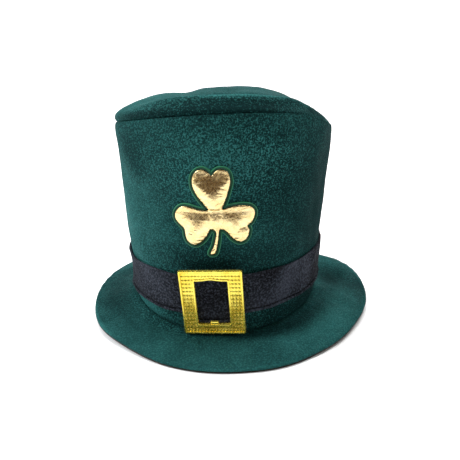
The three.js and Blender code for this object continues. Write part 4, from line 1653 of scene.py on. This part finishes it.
@dataclass
class Shamrock:
    """The shamrock: a padded leaf of gold foil cloth with a stem, in a stitched border."""

    form: HatForm
    above_foot: float = 110.0
    side_shift: float = 3.5
    border_width: float = 2.6
    border_height: float = 1.5
    seam_gap: float = 0.3
    edge: float = 1.5
    puff: float = 5.2
    pad_reach: float = 8.5
    knit: float = 0.75
    sink: float = 2.1
    upper_foot: float = 9.2
    lower_foot: float = -23.0
    # Corners of the gold outline from the stem's right foot, all the way round: across, up.
    outline: tuple = (
        (-0.5, -31.2), (1.5, -24.5), (2.5, -18.2), (3.2, -12.0), (4.0, -8.4), (7.0, -8.7),
        (10.8, -11.8), (15.2, -17.5), (20.9, -20.9), (25.6, -19.6), (28.4, -15.6), (29.2, -10.3),
        (27.7, -6.6), (31.4, -3.2), (33.9, 2.2), (33.7, 7.2), (30.7, 10.4), (25.6, 12.2),
        (18.9, 12.5), (12.3, 11.5), (6.5, 10.1), (9.1, 17.3), (12.0, 27.2), (13.4, 34.3),
        (11.9, 41.6), (8.0, 44.5), (3.9, 44.6), (0.9, 42.6), (-1.7, 39.5), (-5.3, 42.9),
        (-9.4, 45.0), (-13.6, 43.8), (-16.9, 40.2), (-18.1, 35.3), (-17.4, 28.6), (-12.9, 20.0),
        (-7.6, 12.9), (-5.2, 9.3), (-11.6, 9.1), (-17.2, 10.5), (-23.0, 11.9), (-28.0, 11.7),
        (-32.0, 9.3), (-34.8, 4.9), (-34.7, 0.6), (-31.6, -3.9), (-27.6, -7.6), (-26.4, -10.8),
        (-26.1, -14.9), (-24.4, -19.4), (-20.6, -22.6), (-16.6, -23.0), (-11.9, -20.2),
        (-7.6, -15.0), (-4.9, -9.8), (-3.6, -8.2), (-0.6, -8.9), (1.0, -12.0), (0.0, -18.1),
        (-1.6, -24.5), (-4.4, -31.2),
    )
    # Stitched creases that part the pads: across and up of both ends.
    creases: tuple = ((-5.2, 8.8, 6.5, 9.6), (-4.0, -8.0, 4.2, -8.2))

    def laid(self, flat: Array, off: Array) -> Array:
        """Lays flat points, across and up, onto the front of the crown at a distance off it.

        Args:
            flat: Places on the flat patch, across and up.
            off: The distance off the crown.

        Returns:
            The points on the crown.
        """
        height = self.above_foot + flat[..., 1]
        front = np.full_like(height, self.form.front)
        radius = np.abs(self.form.wall_at(front, height)[..., 1])
        angle = front + np.degrees((self.side_shift + flat[..., 0]) / radius)
        return self.form.wall_at(angle, height, self.form.curve_clearance + off)

    def contour(self, margin: float, spacing: float, soften: float) -> Array:
        """The outline grown by a margin: a smooth curve through the corners, moved along its
        normals, less what comes nearer to the curve than the margin.

        Args:
            margin: How far it is grown.
            spacing: The distance between its points.
            soften: The reach of the average that softens it.

        Returns:
            The closed outline, counter-clockwise.
        """
        table = np.array(self.outline)
        t = np.linspace(0.0, len(table), len(table) * 24, endpoint=False)
        base = evenly(catmull(table, t), 0.12, 0.35)
        if margin <= 0.0:
            return evenly(base, spacing, soften)
        along = np.roll(base, -1, axis=0) - np.roll(base, 1, axis=0)
        along /= np.linalg.norm(along, axis=1, keepdims=True)
        grown = base + margin * np.stack([along[:, 1], -along[:, 0]], axis=1)
        return evenly(grown[nearest(grown, base) > margin * 0.985], spacing, soften)

    def border(self) -> tuple[Skin, Array]:
        """The stitched border: half an ellipse carried along the contour between two margins,
        closed below by a flat foot.

        Returns:
            The skin, and each point's share of the way to the outer side.
        """
        half = self.border_width / 2
        middle = self.contour(self.seam_gap + half, 0.3, 0.45)
        along = np.roll(middle, -1, axis=0) - np.roll(middle, 1, axis=0)
        along /= np.linalg.norm(along, axis=1, keepdims=True)
        outward = np.stack([along[:, 1], -along[:, 0]], axis=1)
        turn = np.linspace(0.0, np.pi, 13)
        across = np.concatenate([-half * np.cos(turn), [half * 0.9, -half * 0.9]])
        arch = self.border_height * np.clip(np.sin(turn), 0.0, 1.0) ** 0.45
        tall = np.concatenate([arch, [-0.35, -0.35]])
        flat = middle[:, None, :] + outward[:, None, :] * across[None, :, None]
        points = self.laid(flat, np.broadcast_to(tall, flat.shape[:2]))
        length = float(np.linalg.norm(np.roll(middle, -1, axis=0) - middle, axis=1).sum())
        outer_share = np.broadcast_to((across / half + 1) / 2, flat.shape[:2]).ravel()
        return ring_skin(points, length, 6.0), outer_share

    def cloth_mesh(self) -> tuple[Array, Array, Array]:
        """The leaf cut flat: its outline and a triangle lattice of points inside it.

        Returns:
            The points, the triangles, and each point's distance to the outline.
        """
        outline = self.contour(0.0, self.knit, 0.3)
        low, high = outline.min(axis=0), outline.max(axis=0)
        step = np.array([self.knit, self.knit * math.sqrt(3) / 2])
        count = ((high - low) / step).astype(int) + 1
        i, j = np.meshgrid(np.arange(count[0]), np.arange(count[1]), indexing="ij")
        x, y = low[0] + (i + 0.5 * (j % 2)) * step[0], low[1] + j * step[1]
        lattice = np.stack([x, y], axis=-1).reshape(-1, 2)
        inside = lattice[within(lattice, outline)]
        inside = inside[nearest(inside, outline) > 0.55 * self.knit]
        points = np.concatenate([outline, inside])
        made = delaunay_2d_cdt([Vector(q) for q in points], [], [list(range(len(outline)))], 1, 1e-5)
        flat = np.array([tuple(q) for q in made[0]])
        return flat, np.array(made[2]), nearest(flat, outline)

    def crease_depth(self, flat: Array) -> Array:
        """1 on the stitched creases, falling to 0 at their sides.

        Args:
            flat: Places on the flat patch.

        Returns:
            The depth for each place.
        """
        depth = np.zeros(len(flat))
        for x0, y0, x1, y1 in self.creases:
            run = np.array([x1 - x0, y1 - y0])
            share = np.clip((flat - (x0, y0)) @ run / (run @ run), 0.0, 1.0)
            off = np.linalg.norm(flat - (x0, y0) - share[:, None] * run, axis=1)
            depth = np.maximum(depth, np.exp(-((off / 1.6) ** 2)))
        return depth

    def sinking(self, flat: Array) -> Array:
        """How the padding has sunk: each pad is thicker at its foot than at its head.

        Args:
            flat: Places on the flat patch.

        Returns:
            What each height is multiplied by.
        """
        upper = flat[:, 1] - self.upper_foot > 0.5 * (np.abs(flat[:, 0]) - 7.0).clip(0.0)
        low = np.where(upper, self.upper_foot, flat[:, 1].min())
        high = np.where(upper, flat[:, 1].max(), self.upper_foot + 2.0)
        share = np.where(upper | (flat[:, 1] > self.lower_foot), (flat[:, 1] - low) / (high - low), 0.5)
        return (1.0 + self.sink * (0.5 - np.clip(share, 0.0, 1.0))).clip(0.15)

    def leaf(self) -> Skin:
        """The padded leaf. The cloth starts as a low dome that follows its distance to the
        outline, a quarter of an ellipse up to a reach, and the cloth run blows it up.

        Returns:
            The skin.
        """
        flat, faces, inward = self.cloth_mesh()
        near = np.clip(inward / self.pad_reach, 0.0, 1.0)
        dome = np.sqrt(1.0 - (1.0 - near) ** 2) * (1.0 - 0.6 * self.crease_depth(flat))
        held = (inward < 1e-3) | (self.crease_depth(flat) > 0.93)
        shaped = PadCloth().inflate(flat, faces, held, 1.2 * dome)
        log.info("leaf: cloth run lifts it to %.1f mm", float(shaped[:, 2].max()))
        high, places = shaped[:, 2], shaped[:, :2]
        high = high * self.sinking(flat)
        back = self.laid(flat, np.full(len(flat), 0.3))
        return backed(self.laid(places, self.edge + high), faces, back)

    def make_leaf(self, finish: bpy.types.Material) -> bpy.types.Object:
        """Builds and dresses the gold leaf.

        Args:
            finish: The finish's material.

        Returns:
            The finished piece.
        """
        piece = put_mesh("shamrock_leaf_lame", self.leaf())
        piece.data.materials.append(finish)
        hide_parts("shamrock_leaf")
        return piece

    def make_border(self, finish: bpy.types.Material) -> bpy.types.Object:
        """Builds and dresses the stitched border.

        Args:
            finish: The finish's material.

        Returns:
            The finished piece.
        """
        skin, outer_share = self.border()
        piece = put_mesh("shamrock_border_satin", skin, {"outer": outer_share})
        piece.data.materials.append(finish)
        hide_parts("shamrock_border")
        return piece


def catmull(table: Array, t: Array) -> Array:
    """A closed Catmull-Rom curve through a table's rows: each stretch is a cubic whose slopes
    at its ends are half the difference of the neighbours.

    Args:
        table: The corners.
        t: Places along the curve, in rows of the table.

    Returns:
        The points.
    """
    k = np.floor(t).astype(int)
    s = (t - k)[:, None]
    p0, p1, p2, p3 = (table[(k + n) % len(table)] for n in (-1, 0, 1, 2))
    square, cube = 2 * p0 - 5 * p1 + 4 * p2 - p3, 3 * p1 - p0 - 3 * p2 + p3
    return 0.5 * (2 * p1 + (p2 - p0) * s + square * s**2 + cube * s**3)


def nearest(points: Array, line: Array) -> Array:
    """Each point's distance to the nearest point of a closely spaced line.

    Args:
        points: The points.
        line: The line's points.

    Returns:
        The distances.
    """
    blocks = np.array_split(points, max(1, len(points) // 500))
    gaps = [np.sqrt(((b[:, None, :] - line[None, :, :]) ** 2).sum(axis=2).min(axis=1)) for b in blocks]
    return np.concatenate(gaps)


def within(points: Array, outline: Array) -> Array:
    """Whether each point lies inside a closed outline: a ray to its right crosses the outline
    an odd number of times.

    Args:
        points: The points.
        outline: The outline's points.

    Returns:
        One truth value for each point.
    """
    after = np.roll(outline, -1, axis=0)
    x, y = points[:, 0, None], points[:, 1, None]
    spans = (outline[None, :, 1] > y) != (after[None, :, 1] > y)
    rise = after[:, 1] - outline[:, 1]
    rise = np.where(np.abs(rise) < 1e-12, 1e-12, rise)
    crossing = outline[None, :, 0] + (y - outline[None, :, 1]) / rise * (after[:, 0] - outline[:, 0])
    return ((spans & (crossing > x)).sum(axis=1) % 2) == 1


def backed(points: Array, front: Array, back: Array) -> Skin:
    """Closes an open front of triangles with a back and walls along its free edges.

    Args:
        points: The front's points.
        front: The front's triangles.
        back: The same points on the back.

    Returns:
        The closed skin.
    """
    count = len(points)
    edges = np.concatenate([front[:, [0, 1]], front[:, [1, 2]], front[:, [2, 0]]])
    key = np.sort(edges, axis=1) @ np.array([count, 1])
    _, index, uses = np.unique(key, return_index=True, return_counts=True)
    free = edges[index[uses == 1]]
    walls = np.stack([free[:, 1], free[:, 0], free[:, 0] + count, free[:, 1] + count], axis=1)
    faces = np.concatenate([front, front[:, ::-1] + count])
    skin = Skin(
        np.concatenate([points, back]), [faces, walls],
        [np.zeros((len(faces), 3, 2)), np.zeros((len(walls), 4, 2))],
    )
    return skin.outward()


def evenly(line: Array, spacing: float, soften: float) -> Array:
    """A closed line with its points spaced evenly, softened by a bell-shaped moving average.

    Args:
        line: The closed line's points.
        spacing: The distance between the new points.
        soften: The average's reach.

    Returns:
        The new points.
    """
    closed = np.concatenate([line, line[:1]])
    run = np.concatenate([[0.0], np.cumsum(np.linalg.norm(np.diff(closed, axis=0), axis=1))])
    count = int(run[-1] / spacing)
    at = np.linspace(0.0, run[-1], count, endpoint=False)
    even = np.stack([np.interp(at, run, closed[:, k]) for k in (0, 1)], axis=1)
    steps = np.minimum(np.arange(count), count - np.arange(count)) * spacing
    weight = np.exp(-((steps / soften) ** 2))
    weight /= weight.sum()
    spectrum = np.fft.fft(weight)[:, None]
    return np.real(np.fft.ifft(np.fft.fft(even, axis=0) * spectrum, axis=0))


@dataclass
class Studio:
    """The camera at the photograph's place, a pale floor that turns up behind, and lights."""

    eye: tuple = (0.06667, -0.55532, 0.29021)
    ahead: tuple = (-0.1089, 0.9285, -0.3550)
    roll: float = -2.183
    lens: float = 44.954
    sensor: float = 36.0
    floor_reach: float = 3.2
    floor_height: float = -0.0001
    card_ahead: float = 0.66
    card_width: float = 3.0
    card_height: float = 1.7
    card_colour: Colour = (0.060, 0.040, 0.024)
    sweep_start: float = 1.5
    sweep_radius: float = 1.2
    glow_low: float = 0.16
    glow_high: float = 0.5
    glow_above: float = 0.22

    def set_camera(self) -> None:
        """Puts the camera at its place, looking ahead, rolled about its own axis."""
        data = bpy.data.cameras.new("camera")
        data.lens, data.sensor_width = self.lens, self.sensor
        camera = bpy.data.objects.new("camera", data)
        turn = Vector(self.ahead).to_track_quat("-Z", "Y").to_matrix()
        turn = turn @ Matrix.Rotation(math.radians(self.roll), 3, "Z")
        camera.matrix_world = Matrix.Translation(self.eye) @ turn.to_4x4()
        bpy.context.scene.collection.objects.link(camera)
        bpy.context.scene.camera = camera

    def lay_floor(self) -> None:
        """Lays the paper: flat, then a quarter circle up, then straight up behind the hat."""
        turn = np.linspace(0.0, np.pi / 2, 24)
        flat = np.linspace(-self.floor_reach, self.sweep_start, 12)
        curve = self.sweep_start + self.sweep_radius * np.sin(turn)
        y = np.concatenate([flat, curve, [self.sweep_start + self.sweep_radius]])
        rise = self.sweep_radius * (1 - np.cos(turn))
        z = np.concatenate([np.zeros(12), rise, [self.sweep_radius + 2.0]])
        z = z + self.floor_height
        x = np.linspace(-self.floor_reach, self.floor_reach, 12)
        points = np.stack(np.broadcast_arrays(x[:, None], y[None, :], z[None, :]), axis=-1)
        quads, shares = grid_faces(points.shape[0], points.shape[1], False, False)
        floor = put_mesh("studio_floor", Skin(points.reshape(-1, 3) / METRE, [quads], [shares]))
        floor.data.materials.append(StudioPaper().material())

    def stand_card(self) -> None:
        """Stands a warm dark card behind the camera, for the gold to mirror. The camera itself
        doesn't see it."""
        x = np.linspace(-0.5, 0.5, 13)[:, None] * self.card_width
        z = np.linspace(0.0, self.card_height, 9)[None, :]
        y = -self.card_ahead - 0.25 * z + 0.0 * x
        points = np.stack(np.broadcast_arrays(x, y, z), axis=-1)
        quads, shares = grid_faces(points.shape[0], points.shape[1], False, False)
        card = put_mesh("studio_card", Skin(points.reshape(-1, 3) / METRE, [quads], [shares]))
        card.data.materials.append(StudioPaper("card_paper", self.card_colour).material())
        card.visible_camera = False

    def light(
        self, name: str, place: tuple, size: tuple, power: float,
        colour: Colour = (1.0, 1.0, 1.0), goal: tuple = (0.0, 0.0, 0.1),
    ) -> None:
        """Hangs one soft rectangular light that faces a goal.

        Args:
            name: The lamp's name.
            place: Where it hangs.
            size: Its two sides.
            power: Its power in watts.
            colour: Its colour.
            goal: What it faces.
        """
        data = bpy.data.lights.new(name, "AREA")
        data.shape, data.size, data.size_y = "RECTANGLE", *size
        data.energy, data.color = power, colour
        lamp = bpy.data.objects.new(name, data)
        lamp.location = place
        lamp.rotation_euler = (Vector(goal) - Vector(place)).to_track_quat("-Z", "Y").to_euler()
        bpy.context.scene.collection.objects.link(lamp)

    def set_lights(self) -> None:
        """Sets the room's light, bright low down and dim above, and four soft boxes."""
        bench = Bench(bpy.data.worlds.new("studio"))
        bpy.context.scene.world = bench.owner
        ways = bench.node("ShaderNodeTexCoord").outputs["Generated"]
        up = Signal(bench, bench.node("ShaderNodeSeparateXYZ", {0: ways}).outputs["Z"])
        strength = bench.step(up, self.glow_low, self.glow_high, 1.0, self.glow_above)
        glow = bench.node("ShaderNodeBackground", {"Strength": strength})
        bench.node("ShaderNodeOutputWorld", {"Surface": glow.outputs[0]})
        self.light("key", (-1.5, -0.45, 1.25), (1.0, 1.0), 42.0, (0.95, 0.98, 1.0))
        self.light("top", (0.1, 0.35, 1.9), (2.0, 1.2), 44.0)
        self.light("fill", (1.5, -0.5, 0.9), (0.7, 0.7), 5.0)
        self.light("backdrop", (0.0, 0.9, 2.2), (3.0, 0.5), 70.0, goal=(0.0, 2.6, 0.5))

    def build(self) -> None:
        """Sets up the whole studio."""
        self.set_camera()
        self.lay_floor()
        self.stand_card()
        self.set_lights()
        bpy.context.scene.view_settings.view_transform = "Standard"


def main() -> None:
    """Builds the studio and the hat, piece by piece, and hangs every piece on the hat's body; the solids
    that the pieces dress stay in the scene, hidden.
    """
    logging.basicConfig(level=logging.INFO, format="%(message)s")
    Studio().build()
    form = HatForm()
    green = GREEN_VELOUR.material()
    black = BLACK_VELOUR.material()
    cloth = LiningCloth().material()
    band = HatBand(form)
    shamrock = Shamrock(form)
    pieces = [
        CrownWall(form).make(green, cloth),
        CrownTip(form).make(green),
        Brim(form).make(green),
        BrimLining(form).make(cloth),
        band.make(black),
        Buckle(form, band).make(GoldPlastic().material()),
        shamrock.make_border(SatinStitch().material()),
        shamrock.make_leaf(GoldLame().material()),
    ]
    for piece in pieces:
        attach(piece, BODY)
        log.info("%s: %d faces", piece.name, len(piece.data.polygons))


if __name__ == "__main__":
    main()
